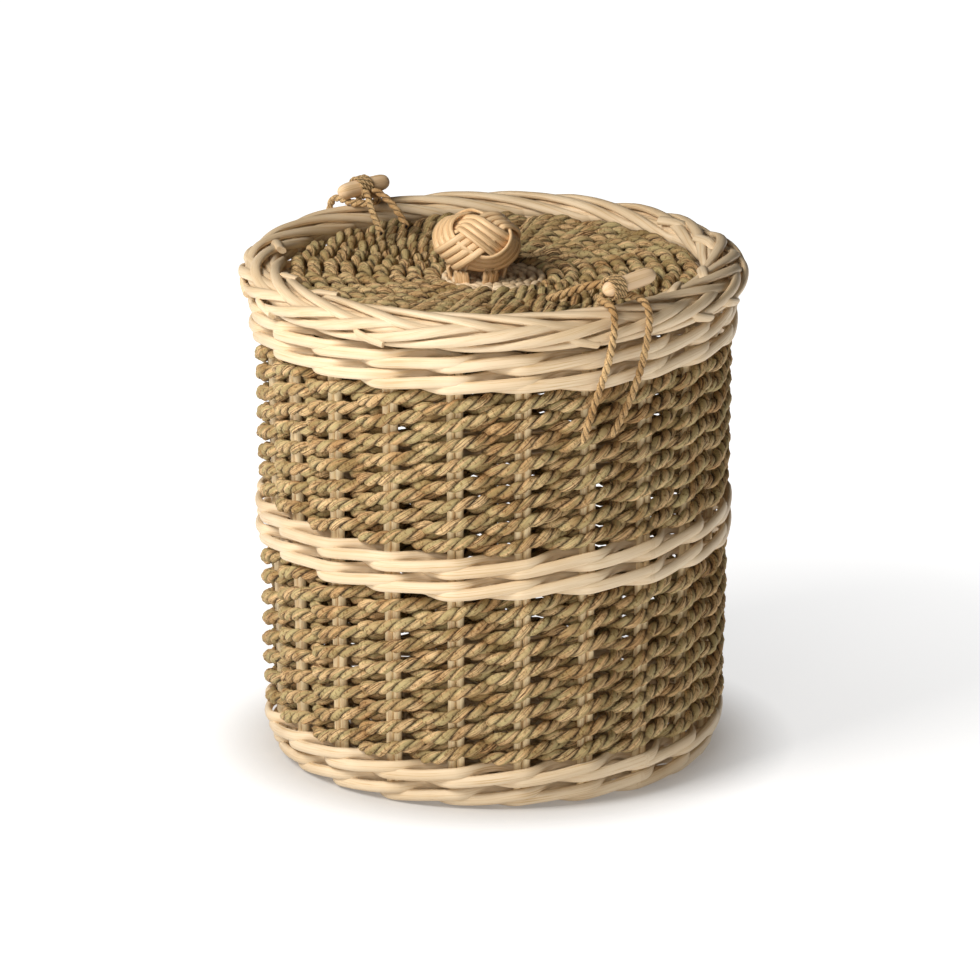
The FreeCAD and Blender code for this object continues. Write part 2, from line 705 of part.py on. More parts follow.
def make_cords(front, rear):
    cord("front_loop", [on_side(front, FRONT_LOOP)], size("loop_thickness"))
    lower = [on_side(rear, REAR_LOOP_LEFT), on_side(rear, REAR_LOOP_RIGHT)]
    cord("rear_loop_lower", lower, size("loop_thickness"))
    cord("rear_loop_upper", [on_side(rear, REAR_LOOP_TOP)], size("loop_thickness"))
    cord("front_tie", [FRONT_TIE], size("front_tie_thickness"))
    cord("rear_tie", [REAR_TIE_LEFT, REAR_TIE_RIGHT], size("rear_tie_thickness"))


make_foot()
weave_rows("lower_weave", FOOT_TOP, "Dims.lower_pitch", int(size("lower_rows")))
wall_ring(
    "middle_wale",
    f"({MIDDLE_FOOT})",
    "Dims.middle_height",
    "Dims.band_back",
    "Dims.middle_thickness",
    "Dims.band_rounding",
)
weave_rows("upper_weave", MIDDLE_TOP, "Dims.upper_pitch", int(size("upper_rows")))
wall_ring(
    "top_wale",
    f"({RIM_FOOT})",
    "Dims.rim_height",
    "Dims.band_back",
    "Dims.rim_thickness",
    "Dims.band_rounding",
    "Dims.rim_height - Dims.band_rounding / 2",
)
make_stakes()
make_base()
make_lid()
make_knob()
FRONT, REAR = -1, 1  # along Y
make_toggle("front", FRONT)
make_toggle("rear", REAR)
make_cords(FRONT, REAR)

doc.recompute()
for item in doc.Objects:
    if "Invalid" in item.State or "Error" in item.State:
        raise ValueError(f"{item.Label} is {item.State}")
for piece in SUB_PARTS:
    if piece.Shape.isNull() or not piece.Shape.isValid():
        raise ValueError(f"{piece.Label} has no valid shape")

os.makedirs("parts", exist_ok=True)
for piece in SUB_PARTS:
    piece.Shape.exportStep(f"parts/{piece.Label}.step")
print(f"{len(SUB_PARTS)} sub-parts written")
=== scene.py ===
import math
import random

import bpy
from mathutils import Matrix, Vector


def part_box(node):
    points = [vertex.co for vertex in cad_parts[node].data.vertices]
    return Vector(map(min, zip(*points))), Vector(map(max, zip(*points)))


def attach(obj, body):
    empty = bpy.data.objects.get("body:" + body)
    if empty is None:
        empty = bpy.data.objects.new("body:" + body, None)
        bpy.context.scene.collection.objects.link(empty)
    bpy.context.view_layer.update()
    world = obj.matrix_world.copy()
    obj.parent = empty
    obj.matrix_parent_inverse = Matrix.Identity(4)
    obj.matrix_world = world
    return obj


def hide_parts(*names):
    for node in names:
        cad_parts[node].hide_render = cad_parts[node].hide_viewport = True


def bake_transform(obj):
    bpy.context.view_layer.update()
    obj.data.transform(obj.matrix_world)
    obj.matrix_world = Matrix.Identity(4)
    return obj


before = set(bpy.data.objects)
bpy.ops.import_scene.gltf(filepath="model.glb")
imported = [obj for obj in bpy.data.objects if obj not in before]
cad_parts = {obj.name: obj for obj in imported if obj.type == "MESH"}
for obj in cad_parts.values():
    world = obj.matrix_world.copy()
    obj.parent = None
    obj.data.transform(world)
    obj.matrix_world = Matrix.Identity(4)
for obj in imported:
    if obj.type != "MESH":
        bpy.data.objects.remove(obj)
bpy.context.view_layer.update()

bl_info = {
    "name": "Lidded rope basket",
    "version": (1, 0, 0),
    "blender": (4, 5, 0),
    "location": "3D View > Sidebar > Basket",
    "description": "Weaves a round lidded basket of grass rope and peeled cane",
    "category": "Add Mesh",
}

MM = 0.001
TURN = 2 * math.pi


def linear(code):
    """A colour given as sRGB hex, in the linear values that shaders work in."""
    shares = [int(code[i : i + 2], 16) / 255 for i in (1, 3, 5)]
    return tuple(c / 12.92 if c <= 0.04045 else ((c + 0.055) / 1.055) ** 2.4 for c in shares)


def colour(name, code, description):
    return bpy.props.FloatVectorProperty(
        name=name, description=description, subtype="COLOR", size=3, default=linear(code)
    )


def length(name, millimetres, description):
    return bpy.props.FloatProperty(
        name=name, description=description, unit="LENGTH", default=millimetres * MM, precision=5
    )


class BasketSizes(bpy.types.PropertyGroup):
    """Sizes of the strands that the basket is woven from."""

    rope: length("Rope", 7.4, "Thickness of the grass rope of the wall")
    rope_lay: length("Rope lay", 16.5, "Length of one full twist of the grass rope")
    lid_rope: length("Lid rope", 7.5, "Thickness of the grass rope of the lid")
    lid_rope_lay: length("Lid rope lay", 16.5, "Length of one full twist of the lid's rope")
    cane: length("Border cane", 6.3, "Width of the peeled canes of the bands and the border")
    reed: length("Knob reed", 3.9, "Width of the flat reeds of the knob")
    upright: length("Upright", 4.2, "Thickness of the upright canes")
    loop: length("Loop cord", 3.6, "Thickness of the loops' cord")
    tie: length("Tie cord", 4.8, "Thickness of the cord that ties the front toggle")
    rear_tie: length("Rear tie cord", 4.0, "Thickness of the cord that ties the rear toggle")
    pairs: bpy.props.IntProperty(
        name="Upright pairs", description="Pairs of uprights round the wall", default=21, min=5
    )
    seed: bpy.props.IntProperty(
        name="Seed", description="Which set of small irregularities is drawn", default=7
    )


class BasketColours(bpy.types.PropertyGroup):
    """Colours of the basket's materials."""

    rope_light: colour("Rope, sunned side", "#D9B888", "Pale straw of the grass rope")
    rope_dark: colour("Rope, creases", "#5F3F20", "Brown between the rope's fibres")
    rope_green: colour("Rope, green leaf", "#BAAA78", "Leaves that dried green")
    cane_light: colour("Cane", "#E4CFAF", "Peeled cane")
    cane_dark: colour("Cane grain", "#CBAA7A", "Grain and inner wood of the cane")
    upright_light: colour("Upright", "#FFE9BC", "Upright canes")
    upright_dark: colour("Upright grain", "#E6C394", "Grain of the uprights")
    reed_light: colour("Reed", "#EFCDA0", "Flat reed of the knob")
    reed_dark: colour("Reed grain", "#BC9058", "Grain of the knob's reed")
    cord_light: colour("Cord", "#E3C08C", "Loop cord")
    cord_dark: colour("Cord creases", "#9C7344", "Creases of the loop cord")
    peg_light: colour("Peg", "#E6C8A2", "Whittled wood of the toggles")
    peg_dark: colour("Peg grain", "#C59F68", "Grain of the toggles")


# --- nodes ---------------------------------------------------------------------------


def add(tree, kind, inputs=None, **settings):
    """Adds a node, with its settings, its values and the links into it."""
    node = tree.nodes.new(kind)
    for name, value in settings.items():
        setattr(node, name, value)
    for key, value in (inputs or {}).items():
        if isinstance(value, bpy.types.NodeSocket):
            tree.links.new(value, node.inputs[key])
        else:
            node.inputs[key].default_value = value
    return node


def new_material(name):
    material = bpy.data.materials.new(name)
    material.use_nodes = True
    material.node_tree.nodes.clear()
    return material, material.node_tree


def finish_material(tree, surface, bump=None):
    """The shader's own values, its colour and bump, and the way out."""
    shader = add(tree, "ShaderNodeBsdfPrincipled", surface)
    if bump:
        tree.links.new(bump, shader.inputs["Normal"])
    add(tree, "ShaderNodeOutputMaterial", {"Surface": shader.outputs[0]})
    return shader


def ramp(tree, factor, stops):
    """A colour ramp from (place, colour) stops."""
    node = add(tree, "ShaderNodeValToRGB", {"Fac": factor})
    elements = node.color_ramp.elements
    while len(elements) < len(stops):
        elements.new(0.5)
    for element, (spot, shade) in zip(elements, stops):
        element.position = spot
        element.color = (*shade, 1)
    return node.outputs[0]


def mixed(tree, factor, first, second, blend="MIX"):
    node = add(tree, "ShaderNodeMix", data_type="RGBA", blend_type=blend)
    for socket, value in ((0, factor), (6, first), (7, second)):
        if isinstance(value, bpy.types.NodeSocket):
            tree.links.new(value, node.inputs[socket])
        elif socket:
            node.inputs[socket].default_value = (*value, 1)
        else:
            node.inputs[socket].default_value = value
    return node.outputs[2]


def strand_noise(tree, twist, squeeze, scale, detail=3.0):
    """Noise in fibres that run along a strand and twist round it.

    The strand attribute goes round the strand in x and y and along it in z, all in
    strand radii."""
    strand = add(tree, "ShaderNodeAttribute", attribute_name="strand").outputs["Vector"]
    apart = add(tree, "ShaderNodeSeparateXYZ", {0: strand})
    angle = add(tree, "ShaderNodeMath", {0: apart.outputs["Z"], 1: twist}, operation="MULTIPLY")
    turned = add(
        tree,
        "ShaderNodeVectorRotate",
        {"Vector": strand, "Angle": angle.outputs[0]},
        rotation_type="Z_AXIS",
    )
    drawn = add(
        tree, "ShaderNodeMapping", {"Vector": turned.outputs[0], "Scale": (1, 1, squeeze)}
    )
    return add(
        tree,
        "ShaderNodeTexNoise",
        {"Vector": drawn.outputs[0], "Scale": scale, "Detail": detail, "Roughness": 0.6},
    ).outputs[0]


def place_noise(tree, millimetres, detail=2.0):
    """Noise over the object, with features about as large as the size given."""
    spot = add(tree, "ShaderNodeTexCoord").outputs["Object"]
    return add(
        tree,
        "ShaderNodeTexNoise",
        {"Vector": spot, "Scale": 1 / (millimetres * MM), "Detail": detail},
    ).outputs[0]


def bumped(tree, height, strength, millimetres):
    return add(
        tree,
        "ShaderNodeBump",
        {"Height": height, "Strength": strength, "Distance": millimetres * MM},
    ).outputs[0]


def rope_material(name, light, dark, green, twist=0.35):
    """Twisted dried grass: dull, with leaf fibres along each ply, painted shade in bands across each
    ply where it wrinkles, and painted shade in the creases between the plies.
    """
    material, tree = new_material(name)
    pale = tuple(min(1.0, 1.3 * c) for c in light)
    fibres = strand_noise(tree, twist, 0.05, 3.4, 5.0)
    leaves = strand_noise(tree, twist, 0.14, 0.8, 2.0)
    wrinkles = strand_noise(tree, 0.0, 2.6, 0.9, 2.0)
    patches = place_noise(tree, 16)
    crown = add(tree, "ShaderNodeAttribute", attribute_name="crown").outputs["Fac"]
    base = ramp(tree, fibres, [(0.35, dark), (0.49, light), (0.7, pale)])
    greener = ramp(tree, leaves, [(0.42, (0, 0, 0)), (0.6, (0.85, 0.85, 0.85))])
    tinted = mixed(tree, greener, base, green)
    shade = ramp(tree, patches, [(0.34, (0.66, 0.56, 0.45)), (0.6, (1.0, 1.0, 1.0))])
    shaded = mixed(tree, 1.0, tinted, shade, "MULTIPLY")
    # painted shade: darker bands across each ply where it wrinkles
    painted_fold_shade = ramp(tree, wrinkles, [(0.34, (0.55, 0.47, 0.38)), (0.46, (1.0, 1.0, 1.0))])
    with_fold_shade = mixed(tree, 1.0, shaded, painted_fold_shade, "MULTIPLY")
    # painted shade: near black in the creases between the plies, where the crown attribute is low
    creases = ramp(tree, crown, [(0.54, (0.025, 0.015, 0.009)), (0.82, (1.0, 1.0, 1.0))])
    final = mixed(tree, 1.0, with_fold_shade, creases, "MULTIPLY")
    bump = bumped(tree, fibres, 1.0, 1.2)
    surface = {"Base Color": final, "Roughness": 0.72, "Specular IOR Level": 0.3}
    finish_material(tree, surface, bump)
    return material


def cane_material(name, light, dark, gloss=0.5):
    """Peeled cane: satin, with fine grain along it and paler and browner stretches."""
    material, tree = new_material(name)
    grain = strand_noise(tree, 0.0, 0.02, 4.5, 4.0)
    stretches = strand_noise(tree, 0.0, 0.03, 0.7, 2.0)
    patches = place_noise(tree, 35)
    base = ramp(tree, grain, [(0.30, dark), (0.48, light), (0.75, light)])
    darker = ramp(tree, stretches, [(0.50, (0, 0, 0)), (0.75, (0.6, 0.6, 0.6))])
    browned = mixed(tree, darker, base, dark)
    shade = ramp(tree, patches, [(0.30, (0.88, 0.84, 0.78)), (0.60, (1.0, 1.0, 1.0))])
    final = mixed(tree, 1.0, browned, shade, "MULTIPLY")
    bump = bumped(tree, grain, 0.35, 0.25)
    surface = {"Base Color": final, "Roughness": gloss, "Specular IOR Level": 0.4}
    finish_material(tree, surface, bump)
    return material


def upright_material(name, light, dark):
    """Round cane: satin, with straight grain along Z, about 1.1 mm from fibre to fibre.

    That is along the wall's uprights, and across the sticks of the base and the lid."""
    material, tree = new_material(name)
    spot = add(tree, "ShaderNodeTexCoord").outputs["Object"]
    drawn = add(tree, "ShaderNodeMapping", {"Vector": spot, "Scale": (1, 1, 0.04)})
    grain = add(
        tree,
        "ShaderNodeTexNoise",
        {"Vector": drawn.outputs[0], "Scale": 900.0, "Detail": 3.0},
    ).outputs[0]
    final = ramp(tree, grain, [(0.32, dark), (0.52, light), (0.8, light)])
    surface = {"Base Color": final, "Roughness": 0.5, "Specular IOR Level": 0.4}
    finish_material(tree, surface, bumped(tree, grain, 0.4, 0.2))
    return material


# --- strands -------------------------------------------------------------------------


def placed(name, data):
    """A new object of the scene, at the origin."""
    made = bpy.data.objects.new(name, data)
    bpy.context.scene.collection.objects.link(made)
    return made


def turned_to_mesh(guide):
    """The mesh that a guide and its modifier make, in the guide's stead."""
    bpy.context.view_layer.update()
    ready = guide.evaluated_get(bpy.context.evaluated_depsgraph_get())
    mesh = bpy.data.meshes.new_from_object(ready)
    bpy.data.objects.remove(guide)
    return mesh


def strand_tree(upright):
    """Geometry Nodes that lay one or more plies along each spline.

    Upright frames suit rings round the basket; the others suit cords."""
    tree = bpy.data.node_groups.new(f"Laid strand {upright}", "GeometryNodeTree")
    sockets = tree.interface
    sockets.new_socket(name="Geometry", in_out="INPUT", socket_type="NodeSocketGeometry")
    for name in ("Ply thickness", "Twist radius", "Lay", "Spacing", "Flatness", "Unevenness"):
        sockets.new_socket(name=name, in_out="INPUT", socket_type="NodeSocketFloat")
    for name in ("Plies", "Sides", "Seed"):
        sockets.new_socket(name=name, in_out="INPUT", socket_type="NodeSocketInt")
    sockets.new_socket(name="Material", in_out="INPUT", socket_type="NodeSocketMaterial")
    sockets.new_socket(name="Geometry", in_out="OUTPUT", socket_type="NodeSocketGeometry")
    given = add(tree, "NodeGroupInput").outputs

    def calculate(operation, first, second=0.0):
        return add(tree, "ShaderNodeMath", {0: first, 1: second}, operation=operation).outputs[0]

    def vector(operation, first, second, scale=None):
        node = add(tree, "ShaderNodeVectorMath", operation=operation)
        tree.links.new(first, node.inputs[0])
        if second is not None:
            tree.links.new(second, node.inputs[1])
        if scale is not None:
            tree.links.new(scale, node.inputs["Scale"])
        return node.outputs[0]

    spaced = add(
        tree,
        "GeometryNodeResampleCurve",
        {"Curve": given["Geometry"], "Length": given["Spacing"]},
        mode="LENGTH",
    ).outputs[0]
    framed = add(
        tree,
        "GeometryNodeSetCurveNormal",
        {"Curve": spaced},
        mode="Z_UP" if upright else "MINIMUM_TWIST",
    ).outputs[0]
    copies = add(
        tree,
        "GeometryNodeDuplicateElements",
        {"Geometry": framed, "Amount": given["Plies"]},
        domain="SPLINE",
    )
    ply = copies.outputs["Duplicate Index"]

    # how far round the twist a point is: a whole number of turns on each spline
    parameter = add(tree, "GeometryNodeSplineParameter").outputs
    whole = add(tree, "GeometryNodeSplineLength").outputs["Length"]
    turns = calculate("ROUND", calculate("DIVIDE", whole, given["Lay"]))
    share = calculate("DIVIDE", ply, given["Plies"])
    angle = calculate("ADD", calculate("MULTIPLY", turns, parameter["Factor"]), share)
    angle = calculate("MULTIPLY", angle, TURN)
    normal = add(tree, "GeometryNodeInputNormal").outputs[0]
    tangent = add(tree, "GeometryNodeInputTangent").outputs[0]
    across = vector("CROSS_PRODUCT", tangent, normal)
    radius = given["Twist radius"]
    cosine = calculate("MULTIPLY", calculate("COSINE", angle), radius)
    sine = calculate("MULTIPLY", calculate("SINE", angle), radius)
    offset = vector(
        "ADD", vector("SCALE", normal, None, cosine), vector("SCALE", across, None, sine)
    )

    # the place along the strand, in strand radii, and far apart for each ply
    half = calculate("MULTIPLY", given["Ply thickness"], 0.5)
    along = calculate("DIVIDE", parameter["Length"], half)
    along = calculate("ADD", along, calculate("MULTIPLY", ply, 411.0))
    along = calculate("ADD", along, calculate("MULTIPLY", given["Seed"], 97.0))
    kept = add(tree, "GeometryNodeCaptureAttribute", {"Geometry": copies.outputs[0]})
    kept.capture_items.new("FLOAT", "Along")
    tree.links.new(along, kept.inputs[1])
    kept.capture_items.new("VECTOR", "Axis")
    tree.links.new(add(tree, "GeometryNodeInputPosition").outputs[0], kept.inputs[2])
    laid = add(
        tree, "GeometryNodeSetPosition", {"Geometry": kept.outputs[0], "Offset": offset}
    ).outputs[0]

    # strands are nowhere quite the same thickness
    spot = add(tree, "GeometryNodeInputPosition").outputs[0]
    lumps = add(
        tree,
        "ShaderNodeTexNoise",
        {"Vector": spot, "W": given["Seed"], "Scale": 70.0, "Detail": 1.0},
        noise_dimensions="4D",
    ).outputs[0]
    lumps = calculate("MULTIPLY", calculate("SUBTRACT", lumps, 0.5), given["Unevenness"])
    lumps = calculate("ADD", calculate("MULTIPLY", lumps, 2.0), 1.0)

    circle = add(
        tree, "GeometryNodeCurvePrimitiveCircle", {"Resolution": given["Sides"], "Radius": half}
    ).outputs[0]
    stretch = add(tree, "ShaderNodeCombineXYZ", {"X": given["Flatness"], "Y": 1.0, "Z": 1.0})
    place = add(tree, "GeometryNodeInputPosition").outputs[0]
    unit = vector("SCALE", place, None, calculate("DIVIDE", 1.0, half))
    rim = add(tree, "GeometryNodeCaptureAttribute", {"Geometry": circle})
    rim.capture_items.new("VECTOR", "Around")
    tree.links.new(unit, rim.inputs[1])
    oval = add(
        tree, "GeometryNodeTransform", {"Geometry": rim.outputs[0], "Scale": stretch.outputs[0]}
    ).outputs[0]
    skin = add(
        tree,
        "GeometryNodeCurveToMesh",
        {"Curve": laid, "Profile Curve": oval, "Scale": lumps, "Fill Caps": True},
    )
    around = add(tree, "ShaderNodeSeparateXYZ", {0: rim.outputs[1]})
    strand = add(
        tree,
        "ShaderNodeCombineXYZ",
        {"X": around.outputs["X"], "Y": around.outputs["Y"], "Z": kept.outputs[1]},
    )
    stored = add(
        tree,
        "GeometryNodeStoreNamedAttribute",
        {"Geometry": skin.outputs[0], "Name": "strand", "Value": strand.outputs[0]},
        data_type="FLOAT_VECTOR",
        domain="POINT",
    ).outputs[0]
    # how far out of the rope a point is: little in the creases, 1 on the crowns; the rope's material
    # paints shade into the creases from it
    skin_spot = add(tree, "GeometryNodeInputPosition").outputs[0]
    gap = add(tree, "ShaderNodeVectorMath", {0: skin_spot, 1: kept.outputs[2]}, operation="DISTANCE")
    crown = calculate("DIVIDE", gap.outputs["Value"], calculate("ADD", radius, half))
    stored = add(
        tree,
        "GeometryNodeStoreNamedAttribute",
        {"Geometry": stored, "Name": "crown", "Value": crown},
        data_type="FLOAT",
        domain="POINT",
    ).outputs[0]
    smooth = add(tree, "GeometryNodeSetShadeSmooth", {"Geometry": stored}).outputs[0]
    real = add(tree, "GeometryNodeRealizeInstances", {"Geometry": smooth}).outputs[0]
    dressed = add(
        tree, "GeometryNodeSetMaterial", {"Geometry": real, "Material": given["Material"]}
    ).outputs[0]
    add(tree, "NodeGroupOutput", {0: dressed})
    return tree


def set_input(modifier, name, value):
    for item in modifier.node_group.interface.items_tree:
        if item.item_type == "SOCKET" and item.in_out == "INPUT" and item.name == name:
            modifier[item.identifier] = value
            return
    raise ValueError(f"the tree has no input {name}")


def polyline(name, lines, closed, faces=None):
    """A curve object with one straight-edged spline for each list of points.

    Faces are the ways that the flat of the strand looks at each point."""
    data = bpy.data.curves.new(name, "CURVE")
    data.dimensions = "3D"
    for number, line in enumerate(lines):
        spline = data.splines.new("POLY")
        spline.points.add(len(line) - 1)
        spline.points.foreach_set("co", [x for spot in line for x in (*spot, 1)])
        spline.use_cyclic_u = closed
        if faces:
            spline.points.foreach_set("tilt", tilts(line, faces[number], closed))
    return placed(name, data)


def tilts(line, faces, closed):
    """How far to turn the frames of a line that stand upright to look along faces."""
    spots = [Vector(spot) for spot in line]
    last = len(spots) - 1
    found = []
    for number, face in enumerate(faces):
        before = number - 1 if number or closed else 0
        after = (number + 1) % len(spots) if number < last or closed else last
        ahead = (spots[after] - spots[before]).normalized()
        level = Vector((ahead.y, -ahead.x, 0)).normalized()
        wanted = Vector(face)
        wanted = (wanted - ahead * wanted.dot(ahead)).normalized()
        turn = math.atan2(level.cross(wanted).dot(ahead), level.dot(wanted))
        if found:
            turn += math.pi * round((found[-1] - turn) / math.pi)
        found.append(turn)
    return found


def lay_strands(name, lines, closed, material, values, upright=True, faces=None):
    """A piece made of strands laid along the lines."""
    guide = polyline(f"{name}_guide", lines, closed, faces)
    kind = f"Laid strand {upright}"
    tree = bpy.data.node_groups.get(kind) or strand_tree(upright)
    modifier = guide.modifiers.new("Strands", "NODES")
    modifier.node_group = tree
    for key, value in {**values, "Material": material}.items():
        set_input(modifier, key, value)
    mesh = turned_to_mesh(guide)
    mesh.name = name
    return placed(name, mesh)


def rope_values(thickness, lay, seed, spacing=2.1, sides=9, uneven=0.10):
    """A two-ply rope, its plies rising to the right, each over half as thick as it."""
    ply = thickness * PLY_SHARE
    return {
        "Ply thickness": ply,
        "Twist radius": (thickness - ply) / 2,
        "Lay": -lay,
        "Spacing": spacing * MM,
        "Flatness": 1.0,
        "Unevenness": uneven,
        "Plies": 2,
        "Sides": sides,
        "Seed": seed,
    }


PLY_SHARE = 0.62


def cane_values(width, seed, flatness=0.85, spacing=3.0, sides=12, uneven=0.06):
    """A single cane, flatter across the wall than along it."""
    return {
        "Ply thickness": width,
        "Twist radius": 0.0,
        "Lay": 1.0,  # any will do where there is no twist
        "Spacing": spacing * MM,
        "Flatness": flatness,
        "Unevenness": uneven,
        "Plies": 1,
        "Sides": sides,
        "Seed": seed,
    }


class Unrest:
    """A slow wander round a ring, the same at the start and the end."""

    def __init__(self, seed, reach, waves=(2, 3, 5, 9)):
        draw = random.Random(seed)
        self.waves = [(n, draw.uniform(0, TURN), draw.uniform(0.4, 1.0)) for n in waves]
        self.reach = reach / sum(size for _, _, size in self.waves)

    def at(self, angle):
        return self.reach * sum(s * math.sin(n * angle + p) for n, p, s in self.waves)


def squared(value, push):
    """Holds a wave longer at its top and bottom."""
    return math.sin(math.pi / 2 * max(-1.0, min(1.0, push * value)))


def on_ring(angle, radius, height):
    return (radius * math.cos(angle), radius * math.sin(angle), height)


# --- what the frame says -------------------------------------------------------------


def ring_box(node):
    """A ring's outer radius, its bottom and its top."""
    low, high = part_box(node)
    return (high[0] - low[0] + high[1] - low[1]) / 4, low[2], high[2]


FIRST_PAIR = math.radians(-84.286)  # from +X, as the uprights stand


def settled(piece, body, slot, *nodes):
    """Gives a piece its body and hides the solids that it stands for. The slot is not used."""
    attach(piece, body)
    if nodes:
        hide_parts(*nodes)
    return piece


def wander(height):
    """How the rows drift up and down together, least at the foot and the rim."""
    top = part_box("top_wale")[1][2]
    share = max(0.0, math.sin(math.pi * height / top))
    return Unrest(WANDER_SEED, WANDER * share)


WANDER, WANDER_SEED = 1.8 * MM, 5
# how far a strand strays in and out, and up and down
ROPE_STRAY, CANE_STRAY = (0.6 * MM, 1.1 * MM), (0.5 * MM, 1.3 * MM)
DISC_STRAY = 0.4 * MM  # how far a strand of the lid or the base strays in and out


def twined_line(pairs, radius, height, wrap, rise, seed, steps=12):
    """The two ropes of a row as one line that closes after two rounds of the wall.

    Each passes outside every other pair, rising, and inside the next, falling."""
    sideways = Unrest(seed, ROPE_STRAY[0])
    upward = Unrest(seed + 1, ROPE_STRAY[1], (3, 5, 8, 13))
    drift = wander(height)
    line = []
    rounds = 2 if pairs % 2 else 1
    for step in range(rounds * pairs * steps):
        share = step / (pairs * steps)
        angle = FIRST_PAIR + TURN * share
        phase = math.pi * pairs * share
        out = radius + wrap * squared(math.cos(phase), 1.15) + sideways.at(angle)
        level = height + rise * math.sin(phase) + upward.at(angle) + drift.at(angle)
        line.append(on_ring(angle, out, level))
    return line


def waled_lines(pairs, radius_at, height, wrap, rise, seed, steps=10):
    """Three canes, each in front of two pairs, rising, then behind the third."""
    lines = []
    drift = wander(height)
    sets = math.gcd(3, pairs)
    rounds = 3 // sets
    for rod in range(sets):
        sideways = Unrest(seed + rod, CANE_STRAY[0])
        upward = Unrest(seed + rod + 10, CANE_STRAY[1], (2, 3, 5, 8, 13))
        line = []
        for step in range(rounds * pairs * steps):
            share = step / (pairs * steps)
            angle = FIRST_PAIR + TURN * share
            part = (pairs * share / 3 + rod / 3 + BAND_START) % 1
            front = squared(math.cos(TURN * (part - 1 / 3)) * 1.6 + 0.2, 1.0)
            if part < BAND_RISE:
                lift = -math.cos(math.pi * part / BAND_RISE)
            else:
                lift = math.cos(math.pi * (part - BAND_RISE) / BAND_FALL)
            level = height + rise * lift + upward.at(angle) + drift.at(angle)
            level = max(level, LOWEST_CANE)
            out = radius_at(level) + wrap * front + sideways.at(angle)
            line.append(on_ring(angle, out, level))
        lines.append(line)
    return lines


LOWEST_CANE = 3.6 * MM  # the line of a cane that lies on the floor
BAND_START = 1 / 6  # where in a cane's float the first pair of uprights stands
BAND_RISE, BAND_FALL = 0.7, 0.3  # the shares of a float in which a cane rises and falls


def tiers(low, high, cane, count=2):
    """Heights of a band's tiers, and how far their canes rise and fall."""
    foot, tall = low + TIER_FOOT, high - low - TIER_FOOT - TIER_HEAD
    tier = tall / count
    rise = (tier + TIER_OVERLAP - cane) / 2
    return [foot + tier * (n + 0.5) for n in range(count)], rise


TIER_FOOT, TIER_HEAD, TIER_OVERLAP = 0.9 * MM, 0.3 * MM, 0.9 * MM


# --- materials -----------------------------------------------------------------------


def finish_for(kind):
    """The material of a kind of piece, made once from the colours in the panel."""
    c = bpy.context.scene.basket_colours
    made = bpy.data.materials.get(kind)
    if made:
        return made
    if kind == ROPE:
        return rope_material(kind, c.rope_light, c.rope_dark, c.rope_green)
    if kind == CANE:
        return cane_material(kind, c.cane_light, c.cane_dark)
    if kind == REED:
        return cane_material(kind, c.reed_light, c.reed_dark, 0.42)
    if kind == CORD:
        return rope_material(kind, c.cord_light, c.cord_dark, c.cord_light)
    if kind == UPRIGHT:
        return upright_material(kind, c.upright_light, c.upright_dark)
    if kind == WOOD:
        return cane_material(kind, c.peg_light, c.peg_dark, 0.6)
    raise ValueError(f"no material is called {kind}")


ROPE, CANE, REED = "twisted dried seagrass", "peeled white cane", "flat rattan reed"
CORD, UPRIGHT, WOOD = "twisted raffia cord", "round rattan upright", "whittled pale wood"


# --- the pieces ----------------------------------------------------------------------


class BASKET_OT_camera(bpy.types.Operator):
    """Sets the camera that looks down a little on the front left of the basket"""

    bl_idname = "basket.camera"
    bl_label = "Camera"

    def execute(self, context):
        away = way_to(CAMERA_TURN, CAMERA_LIFT)
        turn = math.radians(CAMERA_TURN)
        right = Vector((math.cos(turn), math.sin(turn), 0))
        target = Vector((0, 0, CAMERA_TARGET)) + right * CAMERA_ASIDE
        data = bpy.data.cameras.new("camera")
        data.lens = CAMERA_LENS
        data.sensor_width = 36
        data.clip_end = 50
        camera = placed("camera", data)
        camera.location = target + away * CAMERA_AWAY
        camera.rotation_euler = away.to_track_quat("Z", "Y").to_euler()
        context.scene.camera = camera
        return {"FINISHED"}


CAMERA_TURN, CAMERA_LIFT, CAMERA_AWAY = -36.0, 17.2, 4.0
CAMERA_TARGET, CAMERA_ASIDE, CAMERA_LENS = 0.1367, -0.0018, 281.4


def on_side(side, spots):
    """Points given as x, distance from the axis and height, on the front or rear."""
    return [(x * MM, side * math.sqrt(r * r - x * x) * MM, z * MM) for x, r, z in spots]


def in_metres(spots):
    return [tuple(v * MM for v in spot) for spot in spots]


def smooth_route(points):
    """The points of a soft curve led by the given points."""
    data = bpy.data.curves.new("route", "CURVE")
    data.dimensions = "3D"
    data.resolution_u = 10
    spline = data.splines.new("NURBS")
    spline.points.add(len(points) - 1)
    for spot, place in zip(spline.points, points):
        spot.co = (*place, 1)
    spline.order_u = 3
    spline.use_endpoint_u = True
    mesh = turned_to_mesh(placed("route", data))
    route = [v.co.copy() for v in mesh.vertices]
    bpy.data.meshes.remove(mesh)
    return route
